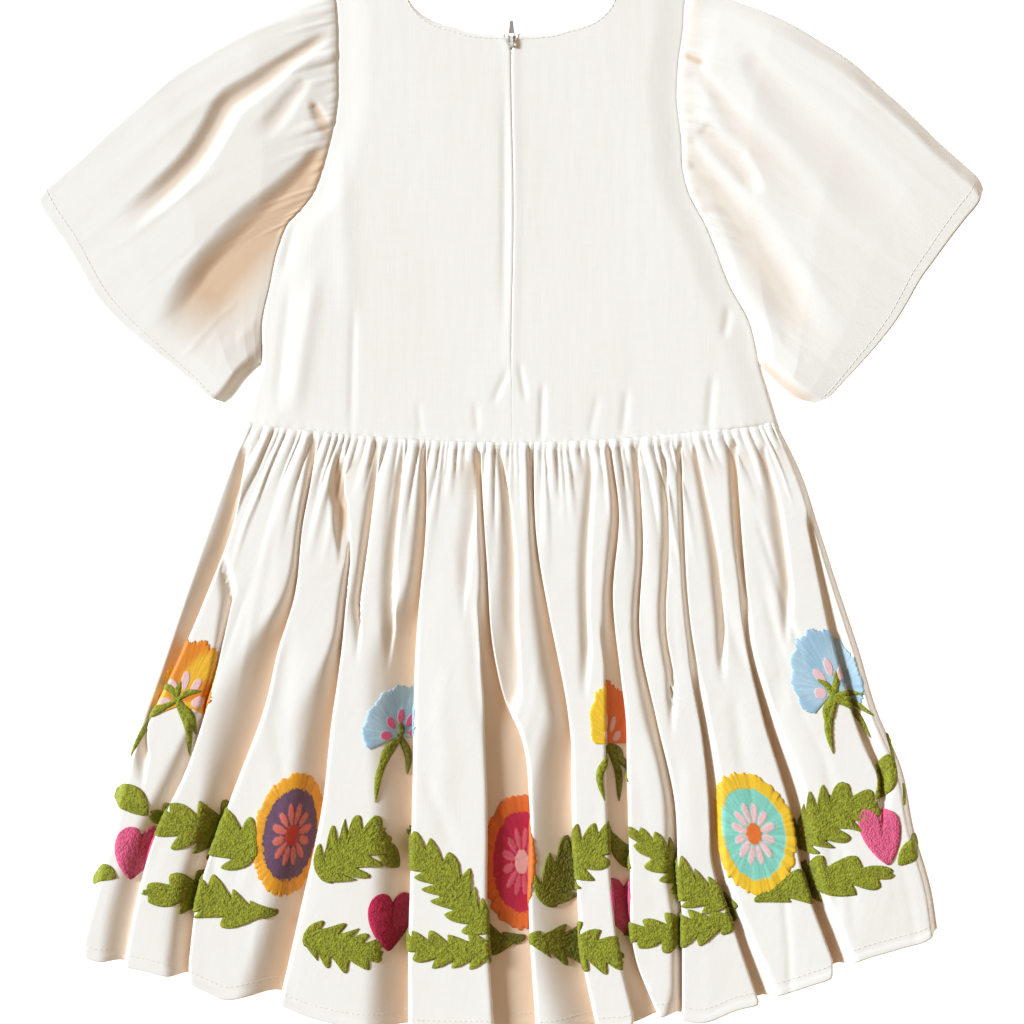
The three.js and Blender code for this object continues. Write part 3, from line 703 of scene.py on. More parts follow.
def make_finishes() -> Wardrobe:
    """Makes all the materials."""
    return Wardrobe(
        cloth=ClothFinish().build(),
        # The last colour given to each thread finish is its painted shade tint, for stitches that lie in the
        # cloth's valleys.
        satin=ThreadFinish("satin_stitch", Texture.SATIN, 0.55, 0.1, 0.12, (0.86, 0.7, 0.58)).build(),
        looped=ThreadFinish("looped_stitch", Texture.LOOPED, 0.85, 0.1, 0.5, (0.42, 0.33, 0.22)).build(),
        sewing=ThreadFinish("sewing_thread", Texture.SEWING, 0.6, 0.0, 0.05).build(),
        enamel=EnamelFinish().build(),
        steel=EnamelFinish("zip_pull_steel", (0.46, 0.45, 0.43), 0.5).build(),
        tape=TapeFinish().build(),
    )


class Tuck(Enum):
    """Which sides of a valley are tucked under a wave, low down the skirt."""

    LEFT = "left"
    BOTH = "both"


@dataclass(frozen=True)
class Fold:
    """One valley of the skirt between two waves, soft on its left and tucked on its right.

    Softness is the share of the valley's width over which its soft side falls. Below turn_y the
    valley has its low tuck instead.
    """

    name: str
    depth: float
    y: tuple
    x: tuple
    half: tuple
    softness: float = 0.98
    turn_y: float | None = None
    low_tuck: Tuck = Tuck.LEFT

    NARROWEST = 1.6
    DEEPEST = 2.3
    WAIST_START = 20
    WAIST_END = 7
    SOFT_END = 42
    THROUGH_HEM = -255

    def cut(self, x: np.ndarray, y: np.ndarray, plateau: np.ndarray) -> tuple[np.ndarray, np.ndarray]:
        """How much of the wave's height the valley takes, and how far its edge leans over it.

        Args:
            x: places across.
            y: places down.
            plateau: the wave's full height at each place.

        Returns:
            The share of the height that is cut, and the sideways move in millimetres.
        """
        from_waist = self.y[0] > self.WAIST_START
        start = self.WAIST_END if from_waist else self.SOFT_END
        fade = smooth(1 - (y - self.y[0]) / start)
        if self.y[-1] > self.THROUGH_HEM:
            fade = fade * smooth(1 - (self.y[-1] - y) / self.SOFT_END)
        width = np.ones_like(fade) if from_waist else 0.3 + 0.7 * fade
        if self.y[-1] > self.THROUGH_HEM:
            width = np.minimum(width, 0.35 + 0.65 * smooth(1 - (self.y[-1] - y) / self.SOFT_END))
        half = np.maximum(self.NARROWEST, follow(self.y, self.half, y) * width)
        drift = (x - follow(self.y, self.x, y)) / half
        most = np.minimum(self.depth, self.DEEPEST * half / np.maximum(plateau, 0.1)) * fade
        lean = 0.5 * half * smooth((most - 0.3) / 0.4) * smooth(plateau / 7) * smooth((fade - 0.35) / 0.65)
        share, move = self._profile(drift)
        if self.turn_y is not None:
            turn = smooth((self.turn_y - y) / 36)
            low_share, low_move = self._low_profile(drift)
            share = share * (1 - turn) + low_share * turn
            move = move * (1 - turn) + low_move * turn
        return most * share, lean * move

    def _profile(self, drift: np.ndarray) -> tuple[np.ndarray, np.ndarray]:
        """Depth and lean across the valley, both between 0 and 1, soft on the left.

        Args:
            drift: distance from the valley's line, in half widths.

        Returns:
            The depth and the lean.
        """
        share = smooth((drift + 1.35) / (2.3 * self.softness)) ** 1.35 * (1 - smooth((drift - 0.95) / 0.4))
        move = -smooth((drift - 0.95) / 0.3) * (1 - smooth((drift - 1.3) / 1.6))
        return share, move

    def _low_profile(self, drift: np.ndarray) -> tuple[np.ndarray, np.ndarray]:
        """Depth and lean across the valley where it has its low tuck.

        Args:
            drift: distance from the valley's line, in half widths.

        Returns:
            The depth and the lean.
        """
        if self.low_tuck is Tuck.LEFT:
            share, move = self._profile(-drift)
            return share, -move
        walls = smooth((drift + 1.35) / 0.4) * (1 - smooth((drift - 0.95) / 0.4))
        share = walls * (0.6 + 0.4 * smooth((drift + 1) / 1.9))
        _, left_move = self._profile(-drift)
        _, right_move = self._profile(drift)
        return share, -left_move + right_move


# Skirt valleys, one row each: share of the wave's height, then y, x and half width down the valley.
SKIRT_FOLDS = (
    Fold("left_band", 0.85, (33, -9, -60, -111, -140), (-173, -183, -203, -225, -237), (3.4, 7.5, 9, 9, 6)),
    Fold("left_crease", 0.55, (-60, -124, -163, -220, -265, -290), (-181, -196, -211, -238, -250, -254),
         (3, 3, 6, 8, 9, 8)),
    Fold("left_wide", 0.9, (40, 14, -9, -60, -92, -124, -188, -252, -291),
         (-128, -131, -135, -143, -158, -169, -188, -207, -212), (3.4, 3, 2.6, 5, 12, 17, 11, 8, 8)),
    Fold("left_pocket", 0.75, (10, 4, 0), (-111, -110, -109), (5, 5.6, 5.6), 0.5),
    Fold("left_deep", 0.95, (-35, -60, -86, -111, -137, -188, -265, -320),
         (-105, -108, -111, -117, -123, -130, -146, -160), (2, 3, 4, 8, 11, 13, 13, 15)),
    Fold("upper_a", 0.7, (38, 4, -22, -60), (-87, -91, -94, -99), (2.8, 3.6, 3.4, 3)),
    Fold("upper_b", 0.45, (36, 4, -35, -66), (-71, -74, -79, -80), (2, 3, 4.5, 5)),
    Fold("mid_left_deep", 0.95, (34, 4, -22, -60, -86, -124, -163, -227, -291, -330),
         (-57, -57, -59, -64, -72, -75, -74, -74, -76, -77), (2.4, 3.6, 5, 7, 15, 17, 15, 13, 13.5, 15)),
    Fold("ridge_crease_left", 0.2, (26, -9, -34), (-27, -29, -32), (4, 5, 4.5)),
    Fold("centre_deep", 0.95, (32, -35, -98, -124, -150, -188, -265, -330),
         (-22, -18, -15, -11, -5, -2, -2, 2), (2.6, 3, 6, 9, 16, 18, 18, 18), 0.9, -50, Tuck.BOTH),
    Fold("centre_crease", 0.5, (34, 4, -22, -86, -120), (-9, -4, -3, -4, -3), (2.4, 3.2, 5, 8, 9)),
    Fold("mid_right_deep", 0.9, (34, -22, -73, -98, -124, -150, -188, -227, -291, -330),
         (12, 14, 20, 24, 29, 32, 32, 32, 37, 45), (2.4, 3, 6.4, 8, 8, 8, 10, 12.5, 11.5, 11.5)),
    Fold("ridge_crease_right", 0.35, (30, -47, -84), (50, 45, 46), (3, 3.8, 3.4)),
    Fold("right_mid", 0.85, (34, 0, -60, -111, -137, -163, -227, -291, -325),
         (62, 66, 62, 65, 66.5, 67, 70, 75, 86), (2.4, 3.6, 4, 7, 9, 9, 7.4, 6.5, 10), 0.9, -70, Tuck.BOTH),
    Fold("right_narrow", 0.7, (34, -22, -86, -137, -188, -239, -262), (79, 82, 80, 90, 101, 103, 106),
         (2.6, 3, 3.2, 3.8, 4.2, 5, 4)),
    Fold("right_short", 0.5, (28, -22, -86, -108), (97, 98, 97, 101), (2.4, 3, 3, 3)),
    Fold("right_long", 0.7, (34, -86, -137, -188, -227, -278, -316), (107, 114, 123, 130, 132, 149, 164),
         (2, 2, 3.4, 5, 5, 5.8, 8.3), 0.8, -90),
    Fold("right_upper", 0.5, (34, -35, -76), (117, 129, 133), (2.2, 4, 3.6)),
    Fold("right_wide", 0.85, (36, -22, -60, -86, -137, -188, -239, -290),
         (141, 145, 149, 152, 165, 182, 192, 211), (3.6, 3.6, 2.6, 2.4, 5, 7, 6.6, 8), 0.8, -50),
    Fold("right_soft", 0.45, (34, 4, -22, -50), (160, 166, 170, 174), (2.8, 5, 5, 4.5)),
    Fold("right_band", 0.5, (-15, -47, -98, -150, -172), (193, 201, 214, 229, 238), (3, 4.6, 6.4, 4.8, 4),
         0.8, 60),
)


def waist_point(share: np.ndarray) -> np.ndarray:
    """Points of the waist seam, from left to right.

    Args:
        share: shares from 0 to 1.

    Returns:
        x and y of each point.
    """
    x = -SKIRT_SIDE_ROWS[0][1] + share * (SKIRT_SIDE_ROWS[0][1] + SKIRT_SIDE_ROWS[0][2])
    y = WAIST_SIDE_Y - WAIST_DIP * (1 - (2 * share - 1) ** 2)
    return np.stack([x, y], axis=-1)


def skirt_side(index: int, sign: float, y: np.ndarray) -> np.ndarray:
    """x of the skirt's side line at given heights."""
    return sign * follow(column(SKIRT_SIDE_ROWS, 0), column(SKIRT_SIDE_ROWS, index), y)


class ClothSurface:
    """A fine grid of one laid panel, with the cloth's own length along each row."""

    def __init__(self, points: np.ndarray, share: np.ndarray, painted_shade: np.ndarray | None = None) -> None:
        """Keeps the grid.

        Args:
            points: rows by columns by three, rows running down.
            share: each point's share across the panel.
            painted_shade: share of painted shade at each point, from 0 to 1, highest deep in the valleys.
        """
        self.points = points
        self.share = share
        self.painted_shade = np.zeros(share.shape) if painted_shade is None else painted_shade
        self.normals = grid_normals(points)
        across = np.linalg.norm(np.diff(points, axis=1), axis=2)
        down = np.linalg.norm(np.diff(points, axis=0), axis=2)
        self.along = np.pad(np.cumsum(across, axis=1), ((0, 0), (1, 0)))
        self.down = np.pad(np.cumsum(down, axis=0), ((1, 0), (0, 0)))

    def seen(self, x: float, y: float) -> tuple[float, float]:
        """The cloth that shows from above at a place.

        Args:
            x: place across.
            y: place down.

        Returns:
            Its length along the row, and its share across the panel.
        """
        found = []
        for j in range(len(self.points)):
            row = self.points[j]
            side = row[:, 0] - x
            hits = np.nonzero(side[:-1] * side[1:] <= 0)[0]
            if len(hits) == 0:
                i = int(np.argmin(np.abs(side)))
                found.append((row[i, 1], self.along[j, i], self.share[j, i]))
                continue
            i = hits[np.argmax(row[hits, 2])]
            t = float(np.clip(side[i] / (side[i] - side[i + 1] + 1e-12), 0, 1))
            mix = [a[j, i] * (1 - t) + a[j, i + 1] * t for a in (self.points[..., 1], self.along, self.share)]
            found.append(tuple(mix))
        table = np.asarray(found)
        order = np.argsort(table[:, 0])
        table = table[order]
        nearest = int(np.argmin(np.abs(table[:, 0] - y)))
        return float(table[nearest, 1]), float(table[nearest, 2])

    def flat(self, places: tuple) -> tuple[tuple, float]:
        """Flat places of points that are given as they show from above.

        Args:
            places: x and y of each point as it shows.

        Returns:
            Length along the cloth from a line, and height, of each point; and the line's share.
        """
        seen = [self.seen(x, y) for x, y in places]
        share = seen[len(seen) // 2][1]
        line, line_y = self.lines(share)
        rows = []
        for (_, y), (along, _) in zip(places, seen):
            rows.append((along - float(np.interp(y, line_y[::-1], line[::-1])), y))
        return tuple(rows), share

    def lines(self, share: float) -> tuple[np.ndarray, np.ndarray]:
        """Length along each row, and height of each row, at one share across the panel.

        Args:
            share: the line's share across the panel.

        Returns:
            The lengths and the heights.
        """
        along = np.array([np.interp(share, s, a) for s, a in zip(self.share, self.along)])
        y = np.array([np.interp(share, s, p) for s, p in zip(self.share, self.points[..., 1])])
        return along, y

    def lay(
        self, away: np.ndarray, y: np.ndarray, lift: np.ndarray, share: float
    ) -> tuple[np.ndarray, np.ndarray]:
        """Lays flat points on the cloth.

        Args:
            away: distance of each point along the cloth from the line at the given share.
            y: height of each point.
            lift: distance of each point over the cloth.
            share: the line's share across the panel.

        Returns:
            Places in space, and the cloth's share of painted shade at each.
        """
        line, line_y = self.lines(share)
        rows = np.arange(len(line), dtype=float)
        place = np.interp(y, line_y[::-1], rows[::-1])
        for _ in range(4):
            point, _, _ = self._between(place, away, line)
            error = y - point[:, 1]
            step = np.interp(place, rows, np.gradient(line_y))
            place = np.clip(place + error / np.minimum(step, -0.2), 0, len(line) - 1)
        point, normal, painted_shade = self._between(place, away, line)
        return point + normal * lift[:, None], painted_shade

    def _between(self, place: np.ndarray, away: np.ndarray, line: np.ndarray) -> tuple[np.ndarray, ...]:
        """Points, normals and shares of painted shade between two rows.

        Args:
            place: row of each point, as a number with a fraction.
            away: distance of each point from the line.
            line: length along each row at the line.

        Returns:
            The points, the normals and the shares of painted shade.
        """
        point = np.zeros((len(place), 3))
        normal = np.zeros((len(place), 3))
        painted_shade = np.zeros(len(place))
        lower = np.minimum(place.astype(int), len(line) - 2)
        share = (place - lower)[:, None]
        for j in np.unique(lower):
            here = np.nonzero(lower == j)[0]
            for k, weight in ((j, 1 - share[here]), (j + 1, share[here])):
                wanted = line[k] + away[here]
                painted_shade[here] += weight[:, 0] * np.interp(wanted, self.along[k], self.painted_shade[k])
                for axis in range(3):
                    p = np.interp(wanted, self.along[k], self.points[k, :, axis])
                    n = np.interp(wanted, self.along[k], self.normals[k, :, axis])
                    point[here, axis] += weight[:, 0] * p
                    normal[here, axis] += weight[:, 0] * n
        normal /= np.maximum(np.linalg.norm(normal, axis=1, keepdims=True), 1e-9)
        return point, normal, painted_shade


def shell_faces(rows: int, columns: int, start: int = 0) -> list:
    """Faces of a closed sheet: a fine outer grid, an inner grid of half as many lines, and the rim.

    Args:
        rows: rows of the outer grid, an odd number.
        columns: columns of the outer grid, an odd number.
        start: index of the first outer point; the inner points follow the outer ones.

    Returns:
        Corner indices of each face.
    """
    low_rows = (rows + 1) // 2
    low_columns = (columns + 1) // 2
    inner = start + rows * columns
    faces = grid_faces(rows, columns, start).tolist()
    faces += grid_faces(low_rows, low_columns, inner, flip=True).tolist()
    outer_index = start + np.arange(rows * columns).reshape(rows, columns)
    inner_index = inner + np.arange(low_rows * low_columns).reshape(low_rows, low_columns)
    rims = (
        (outer_index[0], inner_index[0], False),
        (outer_index[-1], inner_index[-1], True),
        (outer_index[:, 0], inner_index[:, 0], True),
        (outer_index[:, -1], inner_index[:, -1], False),
    )
    for fine_line, coarse_line, turned in rims:
        fine = fine_line.tolist()
        coarse = coarse_line.tolist()
        for k in range(len(coarse) - 1):
            a, b, c = fine[2 * k : 2 * k + 3]
            p, q = coarse[k], coarse[k + 1]
            for face in ((a, b, p), (b, c, q), (b, q, p)):
                faces.append(face[::-1] if turned else face)
    return faces


def closed_shell(name: str, surface: ClothSurface, thick: float) -> bpy.types.Object:
    """A sheet with a plain inner face of half the rows and columns, closed round its rim.

    Args:
        name: the piece's name.
        surface: the outer face, with odd numbers of rows and columns.
        thick: the cloth's thickness.

    Returns:
        The new object.
    """
    inner = (surface.points - surface.normals * thick)[::2, ::2]
    uv = np.stack([surface.along, -surface.down], axis=-1) * MM
    points = np.concatenate([surface.points.reshape(-1, 3), inner.reshape(-1, 3)])
    flat = np.concatenate([uv.reshape(-1, 2), uv[::2, ::2].reshape(-1, 2)])
    painted_shade = np.concatenate([surface.painted_shade.ravel(), surface.painted_shade[::2, ::2].ravel()])
    return make_object(name, points, shell_faces(*surface.share.shape), uv=flat, painted_shade=painted_shade)


def odd(count: float, least: int = 5) -> int:
    """The next odd whole number, not under a least one."""
    whole = max(least, int(math.ceil(count)))
    return whole + 1 - whole % 2


class Relief:
    """Raised stitches that lie on a cloth, gathered into one closed mesh."""

    UNDER = -0.1

    def __init__(self, name: str, ground: ClothSurface) -> None:
        """Starts an empty relief.

        Args:
            name: the piece's name.
            ground: the cloth under the stitches.
        """
        self.name = name
        self.ground = ground
        self._points: list[np.ndarray] = []
        self._colours: list[np.ndarray] = []
        self._painted_shades: list[np.ndarray] = []
        self._faces: list = []
        self._count = 0

    def add(self, flat: np.ndarray, lift: np.ndarray, colours: np.ndarray, share: float) -> None:
        """Adds one patch of stitches.

        Args:
            flat: rows by columns by two, length along the cloth from a line and height.
            lift: height of the stitches over the cloth.
            colours: linear red, green and blue of each point.
            share: the line's share across the panel.
        """
        across = np.diff(flat, axis=1)[:-1]
        down = np.diff(flat, axis=0)[:, :-1]
        facing = across[..., 1] * down[..., 0] - across[..., 0] * down[..., 1]
        if facing.sum() < 0:
            flat, lift, colours = flat[:, ::-1], lift[:, ::-1], colours[:, ::-1]
        under = flat[::2, ::2].reshape(-1, 2)
        top, painted_shade = self.ground.lay(flat[..., 0].ravel(), flat[..., 1].ravel(), lift.ravel(), share)
        low, low_painted_shade = self.ground.lay(under[:, 0], under[:, 1], np.full(len(under), self.UNDER), share)
        self._painted_shades += [painted_shade, low_painted_shade]
        self._points += [top, low]
        self._colours += [colours.reshape(-1, 3), colours[::2, ::2].reshape(-1, 3)]
        self._faces += shell_faces(*lift.shape, self._count)
        self._count += len(top) + len(low)

    def build(self, material: bpy.types.Material) -> bpy.types.Object:
        """Makes the mesh and fixes it to the dress.

        Args:
            material: the stitches' finish.

        Returns:
            The stitches in one piece.
        """
        points = np.concatenate(self._points)
        colours = np.concatenate(self._colours)
        painted_shade = np.concatenate(self._painted_shades)
        piece = make_object(self.name, points, self._faces, colours=colours, painted_shade=painted_shade)
        piece.data.materials.append(material)
        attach(piece, DRESS)
        return piece


def thread_colours(base: np.ndarray, shade: np.ndarray) -> np.ndarray:
    """Colours of stitches: a base colour, lighter and darker by a factor at each point."""
    return np.clip(base * shade[..., None], 0, 1)


def looped_height(shape: tuple, rng: np.random.Generator) -> np.ndarray:
    """Uneven height of looped stitches, from -1 to 1.

    Args:
        shape: rows and columns.
        rng: draws the heights.

    Returns:
        One height for each point.
    """
    fine = rng.uniform(-1, 1, shape)
    rough = rng.uniform(-1, 1, shape)
    rough = (rough + np.roll(rough, 1, 0) + np.roll(rough, 1, 1)) / 2
    return np.clip(0.6 * fine + 0.6 * rough, -1, 1)


@dataclass(frozen=True)
class Leaf:
    """A leaf of looped stitches along a middle line, with pointed lobes that lean to its tip."""

    path: tuple
    half: float
    lobes: float = 4.5
    stem: float = 0.12
    high: float = 1.3

    SPACING = 0.85
    LEAN = 0.75
    BASE = 0.45
    ROUGH = 0.4

    def sew(self, relief: Relief, rng: np.random.Generator) -> None:
        """Adds the leaf to a relief.

        Args:
            relief: the stitches so far.
            rng: draws the uneven loops.
        """
        places, share = relief.ground.flat(self.path)
        line = Line(places)
        rows = odd(line.length / self.SPACING)
        columns = odd(2 * self.half / self.SPACING)
        t, q = np.meshgrid(np.linspace(0, 1, rows), np.linspace(-1, 1, columns), indexing="ij")
        middle = line.at(t[:, 0])
        along = np.gradient(middle, axis=0)
        along /= np.maximum(np.linalg.norm(along, axis=1, keepdims=True), 1e-9)
        beside = np.stack([-along[:, 1], along[:, 0]], axis=-1)
        envelope = np.sin(np.pi * (self.stem + (1 - self.stem) * t) ** 1.15) ** 0.7
        width = np.ones_like(t)
        lean = np.zeros_like(t)
        if self.lobes:
            phase = self.lobes * t + np.where(q < 0, 0.1, 0.45) + 0.16 * np.sin(9 * t + 2 * np.sign(q))
            place = phase - np.floor(phase)
            finger = np.sqrt(smooth(place / 0.62) * (1 - smooth((place - 0.7) / 0.3)))
            width = 0.46 + (0.5 + 0.08 * np.sin(23 * t + self.half)) * finger
            lean = self.LEAN * self.half * np.abs(q) ** 2.5 * np.sqrt(envelope) * (0.25 + 0.5 * finger)
        half = self.half * np.maximum(envelope * width, 0.05)
        flat = middle[:, None] + beside[:, None] * (q * half)[..., None] + along[:, None] * lean[..., None]
        loops = looped_height(t.shape, rng)
        edge = np.minimum((1 - np.abs(q)) * half, np.minimum(t, 1 - t) * line.length + 0.4)
        dome = rounded(edge / 3)
        lift = self.BASE + (self.high - self.BASE) * dome + self.ROUGH * loops * (0.3 + 0.7 * dome)
        # Each point's tone is random and follows its loop's height: low loops darker, a painted shade in the
        # pits, high loops lighter.
        colours = thread_colours(linear(THREADS.leaf), 0.88 + 0.4 * loops)
        relief.add(flat, lift, colours, share)


@dataclass(frozen=True)
class Heart:
    """A heart of looped stitches."""

    place: tuple
    wide: float
    high: float
    colour: tuple = THREADS.pink

    SPACING = 0.85
    NOTCH = 0.26

    def sew(self, relief: Relief, rng: np.random.Generator) -> None:
        """Adds the heart to a relief.

        Args:
            relief: the stitches so far.
            rng: draws the uneven loops.
        """
        places, share = relief.ground.flat((self.place, self.place))
        middle = np.asarray(places[0])
        rows = odd(self.high / self.SPACING)
        columns = odd(self.wide / self.SPACING)
        t, q = np.meshgrid(np.linspace(0, 1, rows), np.linspace(-1, 1, columns), indexing="ij")
        lobes = self.NOTCH * np.sqrt(np.clip(1 - (2 * np.abs(q) - 1) ** 2, 0, 1))
        x = q * np.maximum(np.cos(np.pi / 2 * t) ** 0.72, 0.04)
        y = lobes * (1 - t) + (self.NOTCH - 1) * t
        offset = np.stack([x * self.wide / 2, (y + 0.5 - self.NOTCH) * self.high], axis=-1)
        loops = looped_height(t.shape, rng)
        edge = np.minimum(1 - np.abs(q), np.minimum(2 * t + 0.1, 2 - 2 * t)) * self.wide / 2
        dome = rounded(edge / 3)
        lift = 0.45 + 0.9 * dome + 0.32 * loops * (0.3 + 0.7 * dome)
        # Each point's tone is random and follows its loop's height: low loops darker, a painted shade in the
        # pits, high loops lighter.
        colours = thread_colours(linear(self.colour), 0.94 + 0.2 * loops)
        relief.add(middle + offset, lift, colours, share)


@dataclass(frozen=True)
class RoundFlower:
    """A round flower of radial stitches: fringe, ring, petals and centre.

    Under is how far its middle lies along the cloth to the right of the place that shows.
    """

    place: tuple
    wide: float
    high: float
    fringe: tuple
    ring: tuple
    petals: tuple
    centre: tuple
    under: float = 0.0

    SPACING = 0.8
    PETALS = 12
    THREADS_ROUND = 120

    def sew(self, relief: Relief, rng: np.random.Generator) -> None:
        """Adds the flower to a relief.

        Args:
            relief: the stitches so far.
            rng: draws the uneven threads.
        """
        places, share = relief.ground.flat((self.place, self.place))
        middle = np.asarray(places[0]) + np.array([self.under, 0.0])
        rows = odd(self.high / self.SPACING)
        columns = odd(self.wide / self.SPACING)
        b, a = np.meshgrid(np.linspace(1, -1, rows), np.linspace(-1, 1, columns), indexing="ij")
        x = a * np.sqrt(1 - b * b / 2)
        y = b * np.sqrt(1 - a * a / 2)
        r = np.hypot(x, y)
        angle = np.arctan2(y, x)
        turn = (angle / (2 * np.pi)) % 1
        thread = (turn * self.THREADS_ROUND).astype(int) % self.THREADS_ROUND
        threads = rng.uniform(-1, 1, self.THREADS_ROUND)[thread]
        ragged = 1 + r**4 * (0.012 * np.sin(23 * angle) + 0.03 * threads)
        offset = np.stack([x * ragged * self.wide / 2, y * ragged * self.high / 2], axis=-1)
        beside = 2 * ((turn * self.PETALS) % 1) - 1
        tips = 0.02 * np.sin(5 * angle)
        petal = ((r - 0.35) / (0.17 + tips)) ** 2 + (beside * (0.35 + 0.65 * r / 0.36) / 0.74) ** 2 < 1
        colours = np.empty((*r.shape, 3))
        colours[:] = linear(self.fringe)
        colours[r < 0.75 + 0.02 * threads] = linear(self.ring)
        colours[petal] = linear(self.petals)
        colours[r < 0.18] = linear(self.centre)
        shade = 0.95 + 0.13 * threads * smooth(r * 3) + rng.uniform(-0.04, 0.04, r.shape)
        raised = 0.3 * petal + 0.35 * (r < 0.18) + 0.2 * (r > 0.75)
        dome = rounded((1 - r) * 12)
        lift = 0.45 + dome * (0.3 + raised + 0.06 * threads * smooth(r * 4))
        relief.add(middle + offset, lift, thread_colours(colours, shade), share)


@dataclass(frozen=True)
class FanFlower:
    """A fan-shaped flower on a stalk: long radial stitches with short petals over its foot.

    Past the painted shade split, a share of the way round to the left, all the stitches have the outer
    colour; before it they have the darker inner colour, a painted shade for the part that lies in a valley.
    """

    place: tuple
    reach: tuple
    spread: tuple
    outer: tuple
    inner: tuple
    petals: tuple = THREADS.rose
    painted_shade_split: float = 0.0

    SPACING = 0.8
    FOOT = 0.07

    def sew(self, relief: Relief, rng: np.random.Generator) -> None:
        """Adds the flower to a relief.

        Args:
            relief: the stitches so far.
            rng: draws the uneven threads.
        """
        places, share = relief.ground.flat((self.place, self.place))
        middle = np.asarray(places[0])
        start, end = (math.radians(a) for a in self.spread)
        long = max(self.reach)
        rows = odd(long * (1 - self.FOOT) / self.SPACING)
        columns = odd(long * abs(end - start) * 0.9 / self.SPACING)
        shares = np.linspace(1, self.FOOT, rows)
        r, angle = np.meshgrid(shares, np.linspace(start, end, columns), indexing="ij")
        threads = rng.uniform(-1, 1, columns)[None, :]
        across = (angle - start) / (end - start)
        corners = np.abs(2 * across - 1) ** 7
        ragged = 1 + r**3 * (0.025 * np.sin(15 * angle) + 0.035 * threads) - 0.24 * r * corners
        offset = np.stack([np.cos(angle) * self.reach[0], np.sin(angle) * self.reach[1]], axis=-1)
        offset = offset * (r * ragged)[..., None]
        beside = 2 * ((across * 5) % 1) - 1
        petal = ((r - 0.38) / 0.15) ** 2 + (beside * (0.3 + 0.7 * r / 0.4) / 0.6) ** 2 < 1
        colours = np.empty((*r.shape, 3))
        colours[:] = linear(self.outer)
        mixed = 0.5 + 0.5 * np.sin(13 * across + 5 * r)
        amount = 0.75 * smooth(mixed * 1.4 - 0.2)
        # Painted shade: the darker inner colour on the right part, which lies in a valley.
        if self.painted_shade_split:
            amount = 1 - smooth((across - self.painted_shade_split) / 0.06)
        colours += (linear(self.inner) - colours) * amount[..., None]
        colours[petal] = linear(self.petals)
        streaks = rng.uniform(-1, 1, r.shape)
        streaks = (streaks + np.roll(streaks, 1, 0) + np.roll(streaks, 2, 0)) / 3
        shade = 0.95 + 0.1 * threads + 0.1 * streaks
        dome = rounded((1 - r) * 12) * rounded(np.minimum(across, 1 - across) * 20)
        lift = 0.45 + dome * (0.35 + 0.3 * petal + 0.035 * threads * smooth(r * 3))
        relief.add(middle + offset, lift, thread_colours(colours, shade), share)


# Leaf sprays of the border, from the stem to the tip, with the half width of each.
SPRAYS = (
    Leaf(((-164, -226), (-178, -214), (-198, -206), (-230, -197)), 19, 6.5, 0.34),
    Leaf(((-149, -259), (-170, -259), (-196, -250), (-236, -246)), 16, 6.0, 0.05),
    Leaf(((-124, -236), (-110, -226), (-96, -216), (-80, -208)), 21, 5.0, 0.3),
    Leaf(((-135, -273), (-114, -280), (-98, -284), (-82, -286)), 15, 5.0, 0.3),
    Leaf(((-6, -277), (-26, -260), (-42, -238), (-66, -207)), 15.5, 9.5, 0.05),
    Leaf(((8, -276), (-16, -283), (-40, -284), (-67, -274)), 12, 8.5, 0.08),
    Leaf(((21, -254), (33, -238), (46, -222), (64, -207)), 20, 7.0, 0.3),
    Leaf(((12, -276), (32, -280), (48, -282), (71, -290)), 16, 6.5, 0.12),
    Leaf(((143, -255), (122, -247), (104, -232), (76, -207)), 16, 9.5, 0.05),
    Leaf(((143, -260), (124, -268), (104, -272), (75, -274)), 13, 8.0, 0.1),
    Leaf(((185, -216), (194, -205), (206, -196), (229, -190)), 19, 6.0, 0.22),
    Leaf(((168, -252), (184, -246), (206, -237), (237, -234)), 15, 5.5, 0.04),
)

SMALL_LEAVES = (
    Leaf(((-256, -184), (-244, -186), (-232, -197)), 8, 0),
    Leaf(((-268, -240), (-260, -234), (-252, -237)), 6, 0),
    Leaf(((-84, -214), (-79, -222), (-72, -231)), 7, 0),
    Leaf(((66, -212), (70, -221), (76, -231)), 7, 0),
    Leaf(((241, -160), (238, -174), (233, -187)), 7.5, 0),
    Leaf(((246, -146), (243, -156), (240, -166)), 2.6, 0),
    Leaf(((251, -178), (251, -184), (250, -191)), 2.6, 0),
    Leaf(((262, -212), (256, -220), (250, -229)), 6, 0),
)

HEARTS = (
    Heart((-239, -221.5), 32, 34),
    Heart((-77, -266), 33, 37, THREADS.crimson),
    Heart((72, -256), 33, 36),
    Heart((236, -211), 27, 36),
)

# Leaves of one stalk: the foot of its flower, then the tips of its leaves.
STALKS = (
    (
        (-213.8, -124),
        ((-221, -113), (-210, -111), (-197, -118), (-235, -141), (-243, -160), (-206, -160), (-202, -146)),
    ),
    ((-71, -148), ((-73, -138), (-84, -164), (-87, -189), (-66, -172))),
    ((62, -153), ((72, -162), (74.5, -176), (69, -189), (59, -188))),
    (
        (206, -122),
        ((204.5, -105), (197, -110), (200.5, -139), (205.4, -158), (229.5, -148), (230, -134), (223, -120)),
    ),
)

ROUND_FLOWERS = (
    RoundFlower((-140, -210), 51, 78, THREADS.marigold, THREADS.violet, THREADS.coral, THREADS.red),
    RoundFlower((3, -228), 50, 86, THREADS.tangerine, THREADS.crimson, THREADS.mauve, THREADS.rose, 4),
    RoundFlower((154, -209), 54, 78, THREADS.yellow, THREADS.aqua, THREADS.rose, THREADS.tangerine),
)

